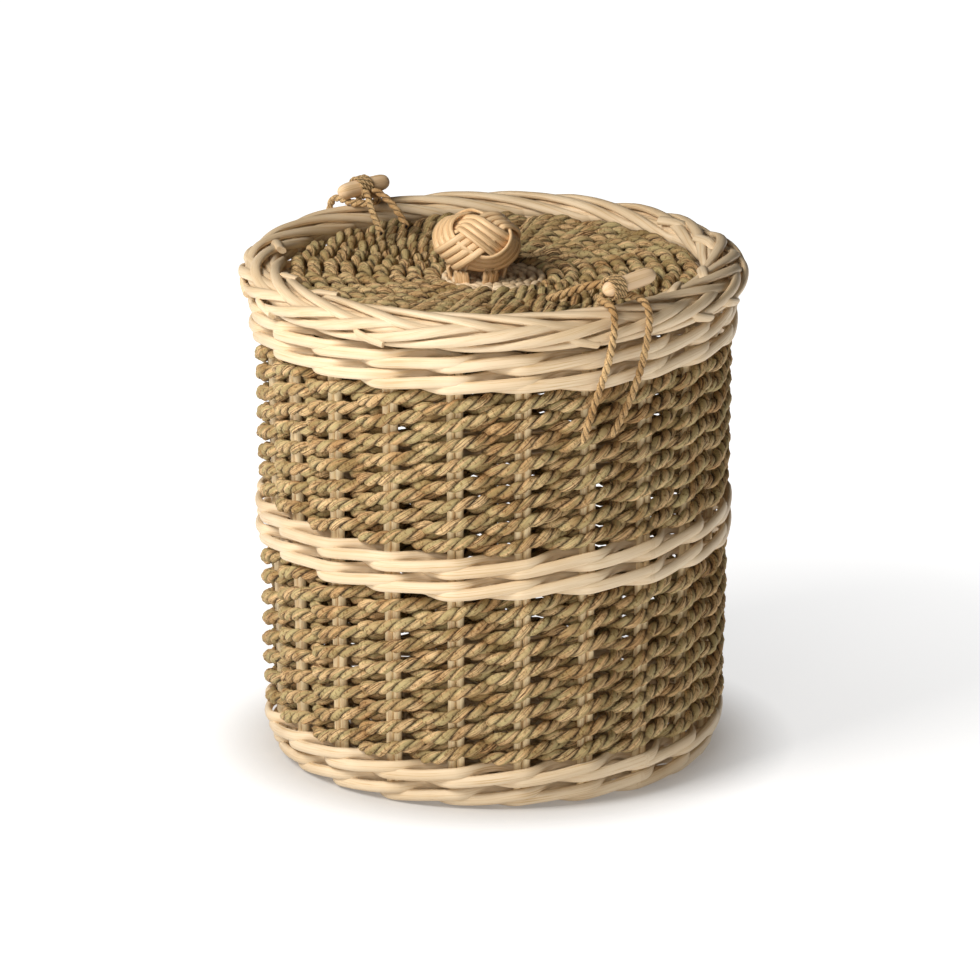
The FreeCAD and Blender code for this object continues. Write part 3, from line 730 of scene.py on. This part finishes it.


# the cords' given points: x, distance from the axis, height
FRONT_LOOP = [
    (-33.0, 127.0, 199.0),
    (-29.5, 127.8, 213.0),
    (-26.7, 131.4, 228.0),
    (-24.0, 134.6, 243.0),
    (-21.8, 135.6, 259.0),
    (-20.4, 132.8, 267.4),
    (-19.4, 125.5, 269.6),
    (-18.0, 116.5, 269.3),
    (-12.5, 110.6, 269.5),
    (-6.0, 110.8, 269.4),
    (-0.9, 117.0, 269.3),
    (0.0, 125.5, 269.6),
    (-0.3, 132.8, 267.4),
    (-0.9, 135.6, 259.0),
    (-3.2, 134.6, 244.0),
    (-5.0, 131.6, 230.0),
    (-9.2, 128.0, 214.0),
    (-17.5, 127.0, 200.0),
]
REAR_LOOP = [
    (-2.0, 127.0, 199.0),
    (-5.0, 128.0, 214.0),
    (-8.6, 131.5, 227.0),
    (-9.4, 134.3, 237.0),
    (-9.4, 134.3, 247.0),
    (-9.4, 134.3, 253.0),
    (-9.3, 135.6, 260.0),
    (-9.2, 132.8, 267.4),
    (-9.0, 125.5, 268.4),
    (-8.6, 116.0, 267.9),
    (-4.6, 110.2, 268.2),
    (4.6, 110.2, 268.1),
    (8.6, 116.0, 267.9),
    (9.0, 125.5, 268.4),
    (9.2, 132.8, 267.4),
    (9.3, 135.6, 260.0),
    (9.4, 134.3, 253.0),
    (9.4, 134.3, 247.0),
    (9.4, 134.3, 237.0),
    (9.8, 131.5, 227.0),
    (11.5, 128.0, 214.0),
    (14.5, 127.0, 199.0),
]
# the ties' given points: x, y, height
FRONT_TIE = [
    (-22.5, -79.0, 262.3),
    (-21.5, -87.0, 265.5),
    (-19.0, -99.0, 271.5),
    (-15.5, -108.0, 275.2),
    (-13.0, -113.0, 276.3),
]
REAR_TIES = [
    [
        (-17.0, 76.5, 261.3),
        (-14.0, 86.0, 265.5),
        (-9.5, 97.0, 270.5),
        (-5.2, 105.5, 273.9),
        (-3.2, 110.0, 274.6),
    ],
    [
        (1.5, 80.0, 261.3),
        (3.4, 88.0, 265.5),
        (4.0, 98.0, 270.5),
        (2.8, 106.0, 273.9),
        (2.0, 110.0, 274.6),
    ],
]
FRONT, REAR = -1, 1


class BASKET_OT_cords(bpy.types.Operator):
    """Makes the two loops and the cords that tie the toggles to the lid"""

    bl_idname = "basket.cords"
    bl_label = "Loops and ties"

    def execute(self, context):
        sizes = context.scene.basket_sizes
        cord = finish_for(CORD)
        lay = sizes.loop * CORD_LAY

        route = smooth_route(on_side(FRONT, FRONT_LOOP))
        values = rope_values(sizes.loop * CORD_FILL, lay, 61, spacing=0.9, sides=8)
        loop = lay_strands("front_loop_cord", [route], False, cord, values, upright=False)
        settled(loop, "front_loop", "loop_cord", "front_loop")

        route = smooth_route(on_side(REAR, REAR_LOOP))
        values = rope_values(sizes.loop * CORD_FILL, lay, 62, spacing=0.9, sides=8)
        loop = lay_strands("rear_loop_cord", [route], False, cord, values, upright=False)
        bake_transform(loop)
        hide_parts("rear_loop_lower", "rear_loop_upper")

        route = smooth_route(in_metres(FRONT_TIE))
        values = rope_values(sizes.tie, sizes.tie * CORD_LAY, 63, spacing=1.0, sides=8)
        tie = lay_strands("front_tie_cord", [route], False, cord, values, upright=False)
        settled(tie, "lid", "tie_cord", "front_tie")

        routes = [smooth_route(in_metres(spots)) for spots in REAR_TIES]
        values = rope_values(sizes.rear_tie, sizes.rear_tie * CORD_LAY, 64, spacing=1.0, sides=8)
        tie = lay_strands("rear_tie_cord", routes, False, cord, values, upright=False)
        settled(tie, "lid", "tie_cord", "rear_tie")
        return {"FINISHED"}


CORD_LAY = 2.6  # one full twist of a cord, in its thicknesses
CORD_FILL = 1.15  # two plies fill less than a round cord, so they are laid thicker


class BASKET_OT_wall_ropes(bpy.types.Operator):
    """Twines the rows of grass rope round the wall's uprights"""

    bl_idname = "basket.wall_ropes"
    bl_label = "Wall ropes"

    def execute(self, context):
        sizes = context.scene.basket_sizes
        rope = finish_for(ROPE)
        wrap = (sizes.upright + sizes.rope) / 2 - ROPE_BED
        rows = sorted(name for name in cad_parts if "_weave_row_" in name)
        for number, node in enumerate(rows):
            outer, low, high = ring_box(node)
            radius = outer - wrap - sizes.rope / 2
            rise = (high - low + ROW_OVERLAP - sizes.rope) / 2
            seed = sizes.seed + number
            spots = twined_line(sizes.pairs, radius, (low + high) / 2, wrap, rise, seed)
            values = rope_values(sizes.rope, sizes.rope_lay, number, uneven=0.13)
            name = node.replace("_weave_row_", "_ropes_")
            piece = lay_strands(name, [spots], True, rope, values)
            settled(piece, "basket", "seagrass_rope", node)
        return {"FINISHED"}


ROW_OVERLAP = 3.3 * MM  # how far neighbouring rows bed into each other
ROPE_BED = 1.5 * MM  # how far a rope is pressed onto the uprights


class BASKET_OT_bands(bpy.types.Operator):
    """Weaves the three cane bands of the wall, each of two tiers"""

    bl_idname = "basket.bands"
    bl_label = "Cane bands"

    def execute(self, context):
        sizes = context.scene.basket_sizes
        cane = finish_for(CANE)
        half = sizes.cane * CANE_FLATNESS / 2
        wrap = sizes.upright / 2 + half + BAND_SLACK
        for number, node in enumerate(("foot_wale", "middle_wale", "top_wale")):
            outer, low, high = ring_box(node)

            def radius_at(level, foot=number == 0, outer=outer, low=low, high=high):
                share = (level - low) / (high - low)
                bulge = FOOT_TAPER * max(0.0, 1 - share) ** 2 if foot else 0.0
                return outer - bulge - wrap - half

            lines = []
            heights, rise = tiers(low, high, sizes.cane)
            for tier, height in enumerate(heights):
                seed = sizes.seed + 100 + 10 * number + 3 * tier
                lines += waled_lines(sizes.pairs, radius_at, height, wrap, rise, seed)
            values = cane_values(sizes.cane, 40 + number, CANE_FLATNESS, spacing=2.6)
            name = node.replace("_wale", "_band_canes")
            piece = lay_strands(name, lines, True, cane, values)
            settled(piece, "basket", "peeled_cane", node)
        return {"FINISHED"}


CANE_FLATNESS = 0.62
BAND_SLACK = 0.9 * MM  # how loosely the canes pass the uprights
FOOT_TAPER = 9.8 * MM  # how far the foot's lowest canes are drawn in


class BASKET_OT_base(bpy.types.Operator):
    """Weaves the flat base round its crossing sticks"""

    bl_idname = "basket.base"
    bl_label = "Base"

    def execute(self, context):
        sizes = context.scene.basket_sizes
        outer, low, high = ring_box("base_weave")
        middle = (low + high) / 2
        lift = (high - low - BASE_CANE * BASE_FLATNESS) / 2
        lines = []
        radius = outer - BASE_CANE / 2 - BASE_CANE * BASE_MARGIN - 0.5 * MM
        while radius > BASE_EYE:
            seed = sizes.seed + 200 + len(lines)
            lines.append(disc_line(sizes.pairs, radius, middle, lift, 0.0, seed, 8))
            radius -= BASE_CANE * BASE_PITCH
        coil = []
        for point in range(EYE_POINTS):
            turns = EYE_START + EYE_TURN * point / TURN
            coil.append(on_ring(EYE_TURN * point, BASE_CANE * turns, middle))
        values = cane_values(BASE_CANE, 50, BASE_FLATNESS, spacing=3.2, sides=8)
        piece = lay_strands("base_canes", lines, True, finish_for(CANE), values)
        settled(piece, "basket", "peeled_cane", "base_weave")
        eye = lay_strands("base_middle_cane", [coil], False, finish_for(CANE), values)
        settled(eye, "basket", "peeled_cane")
        return {"FINISHED"}


BASE_CANE, BASE_FLATNESS, BASE_EYE = 5.2 * MM, 0.8, 20 * MM
BASE_MARGIN, BASE_PITCH = 0.45, 1.06  # in widths of the base's cane
EYE_POINTS, EYE_TURN = 56, 0.35  # the coil's points, and the radians between them
EYE_START = 0.3  # where the coil starts, in cane widths from the axis


def disc_line(pairs, radius, height, wrap, sway, seed, steps=10):
    """The two strands of a flat row as one line that closes after two rounds."""
    sideways = Unrest(seed, DISC_STRAY)
    line = []
    for step in range(2 * pairs * steps):
        share = step / (pairs * steps)
        angle = FIRST_PAIR + TURN * share
        phase = math.pi * pairs * share
        out = radius - sway * math.sin(phase) + sideways.at(angle)
        line.append(on_ring(angle, out, height + wrap * squared(math.cos(phase), 1.1)))
    return line


class BASKET_OT_lid_weave(bpy.types.Operator):
    """Twines the lid's rope rows and its middle over dished sticks"""

    bl_idname = "basket.lid_weave"
    bl_label = "Lid weave"

    def execute(self, context):
        sizes = context.scene.basket_sizes
        rope = finish_for(ROPE)
        wrap = (sizes.upright + sizes.lid_rope) / 2 - ROPE_BED
        depth = wrap + sizes.lid_rope / 2
        sway = (LID_PITCH + LID_OVERLAP - sizes.lid_rope) / 2
        rows = sorted(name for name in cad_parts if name.startswith("lid_row_"))
        levels = []
        for number, node in enumerate(rows):
            outer, _, high = ring_box(node)
            radius, level = outer - LID_PITCH / 2, high - depth
            levels.append((radius, level))
            seed = sizes.seed + 300 + number
            spots = disc_line(sizes.pairs, radius, level, wrap, sway, seed, 12)
            values = rope_values(sizes.lid_rope, sizes.lid_rope_lay, 70 + number, uneven=0.13)
            piece = lay_strands(node.replace("row", "ropes"), [spots], True, rope, values)
            settled(piece, "lid", "seagrass_rope", node)

        # canes round the knob, on the same dish
        outer, _, high = ring_box("lid_centre_weave")
        middle = high - depth
        lift = sizes.upright / 2 + LID_CANE * 0.4
        lines = []
        for row in range(LID_CANE_ROWS):
            radius = outer - (row + 0.5) * LID_CANE * LID_CANE_PITCH
            seed = sizes.seed + 320 + row
            lines.append(disc_line(sizes.pairs, radius, middle, lift, 0.0, seed, 8))
        values = cane_values(LID_CANE, 80, 0.8, spacing=1.6, sides=10)
        piece = lay_strands("lid_middle_canes", lines, True, finish_for(CANE), values)
        settled(piece, "lid", "peeled_cane", "lid_centre_weave")

        # sticks that follow the dish, out from the innermost row of rope
        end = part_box("lid_spokes")[1][0]
        levels.append((end, levels[-1][1] + 0.3 * MM))
        sticks = []
        for stick in range(sizes.pairs):
            angle = FIRST_PAIR + TURN * stick / sizes.pairs
            sticks.append([on_ring(angle, r, z) for r, z in levels])
        values = cane_values(sizes.upright, 81, 0.98, spacing=5.0, sides=10)
        piece = lay_strands("lid_dished_sticks", sticks, False, finish_for(UPRIGHT), values)
        settled(piece, "lid", "stake_cane", "lid_spokes")
        return {"FINISHED"}


LID_PITCH, LID_CANE, LID_CANE_ROWS = 8.3 * MM, 4.6 * MM, 5
LID_CANE_PITCH = 1.08  # from one cane's row to the next, in cane widths
LID_OVERLAP = 2.3 * MM  # how far neighbouring rows of rope bed into each other


class BASKET_OT_lid_border(bpy.types.Operator):
    """Plaits the lid's border from two families of canes that cross on its face"""

    bl_idname = "basket.lid_border"
    bl_label = "Lid border"

    def execute(self, context):
        sizes = context.scene.basket_sizes
        width = sizes.cane * BORDER_SLIMMER
        thick = width * BORDER_FLATNESS
        outer, low, high = ring_box("lid_border")
        inner = outer - BORDER_WIDTH
        half_out = (outer - inner) / 2 - thick
        half_up = (high - low) / 2 - thick
        middle = (outer + inner) / 2
        level = (low + high) / 2
        draw = random.Random(sizes.seed + 400)
        lines, faces = [], []
        for family in (1, -1):
            for cane in range(sizes.pairs):
                place = cane + draw.uniform(-PLAIT_STRAY, PLAIT_STRAY)
                drift = draw.uniform(-PLAIT_STRAY, PLAIT_STRAY)
                swell = draw.uniform(*PLAIT_SWELL) * MM
                loose = draw.random() < LOOSE_SHARE
                whole = (PLAIT_SPAN + 2 * PLAIT_TUCK) * (LOOSE_LENGTH if loose else 1.0)
                line, face = [], []
                for step in range(PLAIT_STEPS + 1):
                    u = -PLAIT_TUCK + whole * step / PLAIT_STEPS
                    along = u + drift * math.sin(u * 2)
                    run = u if family == 1 else PLAIT_SPAN - u
                    turn = PLAIT_TOP - (PLAIT_TOP - PLAIT_FOOT) * run / PLAIT_SPAN
                    over = squared(math.cos(math.pi * (run - PLAIT_OVER) / PLAIT_FLOAT), 1.6)
                    layer = family * over * (thick / 2 + PLAIT_GAP)
                    if loose and PLAIT_STEPS - step < LOOSE_STEPS:
                        layer = thick * (0.6 + 0.12 * (LOOSE_STEPS - PLAIT_STEPS + step))
                    elif step in (0, PLAIT_STEPS):
                        layer -= thick / 2
                    angle = FIRST_PAIR + TURN * (place + along) / sizes.pairs
                    out = math.cos(turn)
                    up = math.sin(turn)
                    radius = middle + (half_out + layer + swell) * out
                    line.append(on_ring(angle, radius, level + (half_up + layer) * up))
                    tipped = Vector((out / half_out, up / half_up)).normalized()
                    face.append(on_ring(angle, tipped[0], tipped[1]))
                lines.append(line)
                faces.append(face)
        values = cane_values(width, 90, BORDER_FLATNESS, spacing=2.8)
        piece = lay_strands("lid_border_canes", lines, False, finish_for(CANE), values, faces=faces)
        settled(piece, "lid", "peeled_cane", "lid_border")

        # canes that run all the way round inside the plait, seen from below
        rings = []
        for number, degrees in enumerate(CORE_CANES):
            turn = math.radians(degrees)
            wave = Unrest(sizes.seed + 500 + number, CORE_STRAY)
            radius = middle + (half_out - thick / 2) * math.cos(turn)
            height = level + (half_up - thick / 2) * math.sin(turn)
            steps = sizes.pairs * 6
            angles = [TURN * step / steps for step in range(steps)]
            rings.append([on_ring(a, radius + wave.at(a), height + wave.at(-a)) for a in angles])
        values = cane_values(width, 95, 0.9, spacing=4.0)
        core = lay_strands("lid_border_core", rings, True, finish_for(CANE), values)
        settled(core, "lid", "peeled_cane")
        return {"FINISHED"}


BORDER_FLATNESS = 0.62
BORDER_SLIMMER = 0.92
CORE_CANES = (-90, -122, -155, 172, 140)  # degrees round the border's section
CORE_STRAY = 0.6 * MM
LOOSE_SHARE, LOOSE_LENGTH, LOOSE_STEPS = 0.3, 0.8, 5  # canes whose cut end shows
BORDER_WIDTH = 24.9 * MM
PLAIT_SPAN = 4.6  # pair spacings that a cane takes to cross the border
PLAIT_GAP = 0.2 * MM  # room between crossing canes, on each side
PLAIT_TUCK = 0.45  # how far each end is tucked on past that, in pair spacings
PLAIT_STRAY = 0.12  # how far a cane strays from its even place, in pair spacings
PLAIT_SWELL = (-0.6, 0.8)  # how far in or out of its place a cane lies, in mm
PLAIT_STEPS = 48
PLAIT_TOP, PLAIT_FOOT = math.radians(165), math.radians(-75)
PLAIT_OVER, PLAIT_FLOAT = 1.0, 2.7  # where a cane is on top, and half its wave's length


class BASKET_OT_knob(bpy.types.Operator):
    """Ties the knob, a three-lead Turk's head of flat reeds with legs into the lid"""

    bl_idname = "basket.knob"
    bl_label = "Knob"

    def execute(self, context):
        sizes = context.scene.basket_sizes
        low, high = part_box("knob_knot")
        middle = (low + high) / 2
        thick = sizes.reed * REED_FLATNESS
        half = (high[0] - low[0]) / 2 - thick
        tall = (high[2] - low[2]) / 2 - thick

        def on_knob(turn, lift, out):
            way = Vector(on_ring(turn, math.cos(lift), math.sin(lift)))
            spot = Vector((way[0] * (half + out), way[1] * (half + out), way[2] * (tall + out)))
            face = Vector((way[0] / half, way[1] / half, way[2] / tall)).normalized()
            return middle + spot, face

        centre = []
        for step in range(KNOT_STEPS):
            t = TURN * step / KNOT_STEPS
            turn = KNOB_TURN + KNOT_LEADS * t
            lift = KNOT_LOW + (KNOT_HIGH - KNOT_LOW) * (0.5 + 0.5 * math.cos(KNOT_BIGHTS * t))
            over = math.sin(2 * KNOT_BIGHTS * t)
            centre.append(on_knob(turn, lift, over * thick * KNOT_OVER))
        lines, faces = [], []
        for reed in range(KNOT_REEDS):
            aside = (reed - (KNOT_REEDS - 1) / 2) * sizes.reed * REED_PITCH
            line, face = [], []
            for step in range(KNOT_STEPS):
                spot, normal = centre[step]
                ahead = centre[(step + 1) % KNOT_STEPS][0] - centre[step - 1][0]
                across = ahead.normalized().cross(normal).normalized()
                line.append(spot + across * aside)
                face.append(normal)
            lines.append(line)
            faces.append(face)
        values = cane_values(sizes.reed, 95, REED_FLATNESS, spacing=1.2, sides=10)
        piece = lay_strands("knob_reeds", lines, True, finish_for(REED), values, faces=faces)
        settled(piece, "lid", "knob_reed", "knob_knot")

        # reeds that come out under the knot and go down into the lid
        legs, faces = [], []
        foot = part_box("lid_centre_weave")[1][2] - 6 * MM
        for turn in LEG_TURNS:
            for reed in range(LEG_REEDS):
                angle = math.radians(turn) + (reed - 1) * LEG_SPREAD
                line, face = [], []
                for step in range(LEG_STEPS + 1):
                    share = step / LEG_STEPS
                    out = (0.62 + 0.12 * math.sin(math.pi * share)) * half
                    spot = middle + Vector(on_ring(angle, out, 0))
                    spot.z = (middle.z - 2 * MM) * (1 - share) + foot * share
                    line.append(spot)
                    face.append(on_ring(angle, 1.0, 0.2))
                legs.append(line)
                faces.append(face)
        values = cane_values(sizes.reed, 96, REED_FLATNESS, spacing=1.6, sides=10)
        piece = lay_strands("knob_reed_legs", legs, False, finish_for(REED), values, faces=faces)
        settled(piece, "lid", "knob_reed", "knob_legs")
        return {"FINISHED"}


REED_FLATNESS = 0.55
KNOT_LEADS, KNOT_BIGHTS, KNOT_REEDS = 3, 4, 4
KNOT_LOW, KNOT_HIGH = math.radians(-34), math.radians(60)
KNOT_STEPS = 220
KNOT_OVER = 0.62  # how far a strand rises over another, in thicknesses of its reeds
REED_PITCH = 1.03  # from one reed of a strand to the next, in reed widths
KNOB_TURN = math.radians(20)
LEG_TURNS = (-95, -25, 60, 130, 200)  # degrees round the knob
LEG_REEDS, LEG_SPREAD, LEG_STEPS = 3, 0.2, 8


class BASKET_OT_toggles(bpy.types.Operator):
    """Whittles the two wooden toggles and winds the lashings round them"""

    bl_idname = "basket.toggles"
    bl_label = "Toggles"

    def execute(self, context):
        wood = finish_for(WOOD)
        for name in ("front", "rear"):
            low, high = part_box(f"{name}_toggle")
            thick = high[1] - low[1]
            across = Vector((high[0] - low[0] - thick, 0, high[2] - low[2] - thick))
            along = across.normalized()
            spot = (low + high) / 2 + along * PEG_SHIFT[name]
            reach = across.length + thick + PEG_SPARE[name]
            peg = whittled_peg(f"{name}_peg", spot, along, reach, thick, wood)
            settled(peg, f"{name}_toggle", "peg_wood", f"{name}_toggle")
            low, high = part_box(f"{name}_lashing")
            middle = (low + high) / 2
            side = along.cross(Vector((0, 1, 0)))
            radius = thick / 2 + LASHING / 2
            line = []
            for step in range(LASHING_STEPS + 1):
                share = step / LASHING_STEPS
                angle = TURN * LASHING_TURNS * share
                shift = (share - 0.5) * LASHING * LASHING_TURNS * LASHING_PITCH
                spot = middle + along * shift
                spot += (Vector((0, 1, 0)) * math.cos(angle) + side * math.sin(angle)) * radius
                line.append(spot)
            values = rope_values(LASHING, LASHING * CORD_LAY, 66, spacing=0.8, sides=7)
            wraps = lay_strands(
                f"{name}_lashing_cord", [line], False, finish_for(CORD), values, upright=False
            )
            settled(wraps, f"{name}_toggle", "tie_cord", f"{name}_lashing")
        return {"FINISHED"}


LASHING = 2.1 * MM
LASHING_TURNS, LASHING_STEPS = 4, 64
LASHING_PITCH = 0.95  # from one turn to the next, in thicknesses of the cord
PEG_SPARE = {"front": 0.0, "rear": 3 * MM}  # how much longer than its solid a peg is
PEG_SHIFT = {"front": 0.0, "rear": -1.5 * MM}  # how far it stands along from its solid


def whittled_peg(name, middle, along, reach, thick, material):
    """A peg with blunt round ends and the flats that a knife leaves."""
    side = Vector((0, 1, 0))
    up = along.cross(side)
    rings, around = 26, 24
    draw = random.Random(name)
    flats = [(draw.uniform(0, TURN), draw.uniform(0.02, 0.06)) for _ in range(3)]
    spots, strand = [], []
    for ring in range(rings):
        share = -math.cos(math.pi * (ring + 0.5) / rings)
        full = (1 - abs(share) ** 7) ** 0.5
        for step in range(around):
            angle = TURN * step / around
            dent = sum(d * max(0.0, math.cos(angle - a + share)) ** 6 for a, d in flats)
            radius = thick / 2 * full * (1 - dent)
            out = side * math.cos(angle) + up * math.sin(angle)
            spots.append(middle + along * (share * reach / 2) + out * radius)
            strand.append((math.cos(angle), math.sin(angle), share * reach / thick))
    faces = []
    for ring in range(rings - 1):
        for step in range(around):
            a, b = ring * around + step, ring * around + (step + 1) % around
            faces.append((a, b, b + around, a + around))
    faces += [tuple(reversed(range(around))), tuple(range((rings - 1) * around, rings * around))]
    mesh = bpy.data.meshes.new(name)
    mesh.from_pydata(spots, [], faces)
    mesh.shade_smooth()
    kept = mesh.attributes.new("strand", "FLOAT_VECTOR", "POINT")
    kept.data.foreach_set("vector", [v for spot in strand for v in spot])
    mesh.materials.append(material)
    mesh.validate()
    return placed(name, mesh)


def dressed(node, material):
    """Gives a solid of the frame a better material."""
    node.data.materials.clear()
    node.data.materials.append(material)


class BASKET_OT_uprights(bpy.types.Operator):
    """Gives the uprights and the base's sticks their finish"""

    bl_idname = "basket.uprights"
    bl_label = "Uprights"

    def execute(self, context):
        for node in ("wall_stakes", "base_sticks"):
            dressed(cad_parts[node], finish_for(UPRIGHT))
        return {"FINISHED"}


def way_to(turn, lift):
    """The way out to something turned from the front and lifted, in degrees."""
    turn, lift = math.radians(turn), math.radians(lift)
    return Vector((math.sin(turn) * math.cos(lift), -math.cos(turn) * math.cos(lift), math.sin(lift)))


def lamp(name, turn, lift, away, size, power, tint):
    """A soft square light that faces the basket."""
    way = way_to(turn, lift)
    data = bpy.data.lights.new(name, "AREA")
    data.size = size
    data.energy = power
    data.color = tint
    light = placed(name, data)
    light.location = Vector((0, 0, LAMP_AIM)) + way * away
    light.rotation_euler = way.to_track_quat("Z", "Y").to_euler()


class BASKET_OT_stage(bpy.types.Operator):
    """Sets a pale floor with a painted contact shadow round the basket, and soft studio light"""

    bl_idname = "basket.stage"
    bl_label = "Stage"

    def execute(self, context):
        material, tree = new_material("white floor with painted contact shadow")
        # paper that glows more away from the basket, and less where it is hidden: a painted contact
        # shadow round the basket, and painted shade where the floor is hidden
        spot = add(tree, "ShaderNodeTexCoord").outputs["Object"]
        away = add(tree, "ShaderNodeVectorMath", {0: spot}, operation="LENGTH").outputs["Value"]
        # painted contact shadow: the floor glows less within 0.16 m of the basket's axis
        painted_contact_shadow = ramp(tree, away, [(0.115, (0.32,) * 3), (0.16, (0.74,) * 3), (0.5, (1.0,) * 3)])
        hidden = add(tree, "ShaderNodeAmbientOcclusion", {"Distance": 0.05}).outputs["AO"]
        # painted shade: the floor glows less where the basket hides it
        painted_occlusion_shade = ramp(tree, hidden, [(0.35, (0.62, 0.58, 0.54)), (0.85, (1.0, 1.0, 1.0))])
        paper = {
            "Base Color": (0.5, 0.5, 0.5, 1),
            "Roughness": 0.9,
            "Emission Color": mixed(tree, 1.0, painted_contact_shadow, painted_occlusion_shade, "MULTIPLY"),
            "Emission Strength": 1.0,
        }
        finish_material(tree, paper)
        mesh = bpy.data.meshes.new("floor")
        corners = [(x * FLOOR, y * FLOOR, 0) for x, y in ((-1, -1), (1, -1), (1, 1), (-1, 1))]
        mesh.from_pydata(corners, [], [(0, 1, 2, 3)])
        mesh.materials.append(material)
        placed("floor", mesh)

        world = bpy.data.worlds.new("studio")
        world.use_nodes = True
        world.node_tree.nodes.clear()
        sky = add(world.node_tree, "ShaderNodeBackground", {"Color": (1, 1, 1, 1), "Strength": 0.03})
        add(world.node_tree, "ShaderNodeOutputWorld", {"Surface": sky.outputs[0]})
        context.scene.world = world

        tint = (1.0, 0.965, 0.92)
        lamp("key", turn=-88, lift=42, away=1.6, size=0.7, power=26, tint=tint)
        tint = (1.0, 0.95, 0.88)
        lamp("fill", turn=-46, lift=14, away=2.2, size=0.9, power=11, tint=tint)
        context.scene.view_settings.view_transform = "Standard"
        return {"FINISHED"}


FLOOR = 6.0  # from the middle to each edge
LAMP_AIM = 0.13  # the height that the lamps face


class BASKET_PT_panel(bpy.types.Panel):
    """Sizes, colours and steps of the basket"""

    bl_label = "Lidded rope basket"
    bl_space_type = "VIEW_3D"
    bl_region_type = "UI"
    bl_category = "Basket"

    def draw(self, context):
        for group in (context.scene.basket_sizes, context.scene.basket_colours):
            box = self.layout.box()
            for name in group.__annotations__:
                box.prop(group, name)
        for step in STEPS:
            self.layout.operator(step.bl_idname)


STEPS = (
    BASKET_OT_camera,
    BASKET_OT_cords,
    BASKET_OT_wall_ropes,
    BASKET_OT_bands,
    BASKET_OT_base,
    BASKET_OT_lid_weave,
    BASKET_OT_lid_border,
    BASKET_OT_knob,
    BASKET_OT_toggles,
    BASKET_OT_uprights,
    BASKET_OT_stage,
)
CLASSES = (BasketSizes, BasketColours, *STEPS, BASKET_PT_panel)


def register():
    for cls in CLASSES:
        bpy.utils.register_class(cls)
    bpy.types.Scene.basket_sizes = bpy.props.PointerProperty(type=BasketSizes)
    bpy.types.Scene.basket_colours = bpy.props.PointerProperty(type=BasketColours)


def unregister():
    del bpy.types.Scene.basket_colours
    del bpy.types.Scene.basket_sizes
    for cls in reversed(CLASSES):
        bpy.utils.unregister_class(cls)


def main():
    register()
    for step in STEPS:
        group, name = step.bl_idname.split(".")
        getattr(getattr(bpy.ops, group), name)()


if __name__ == "__main__":
    main()
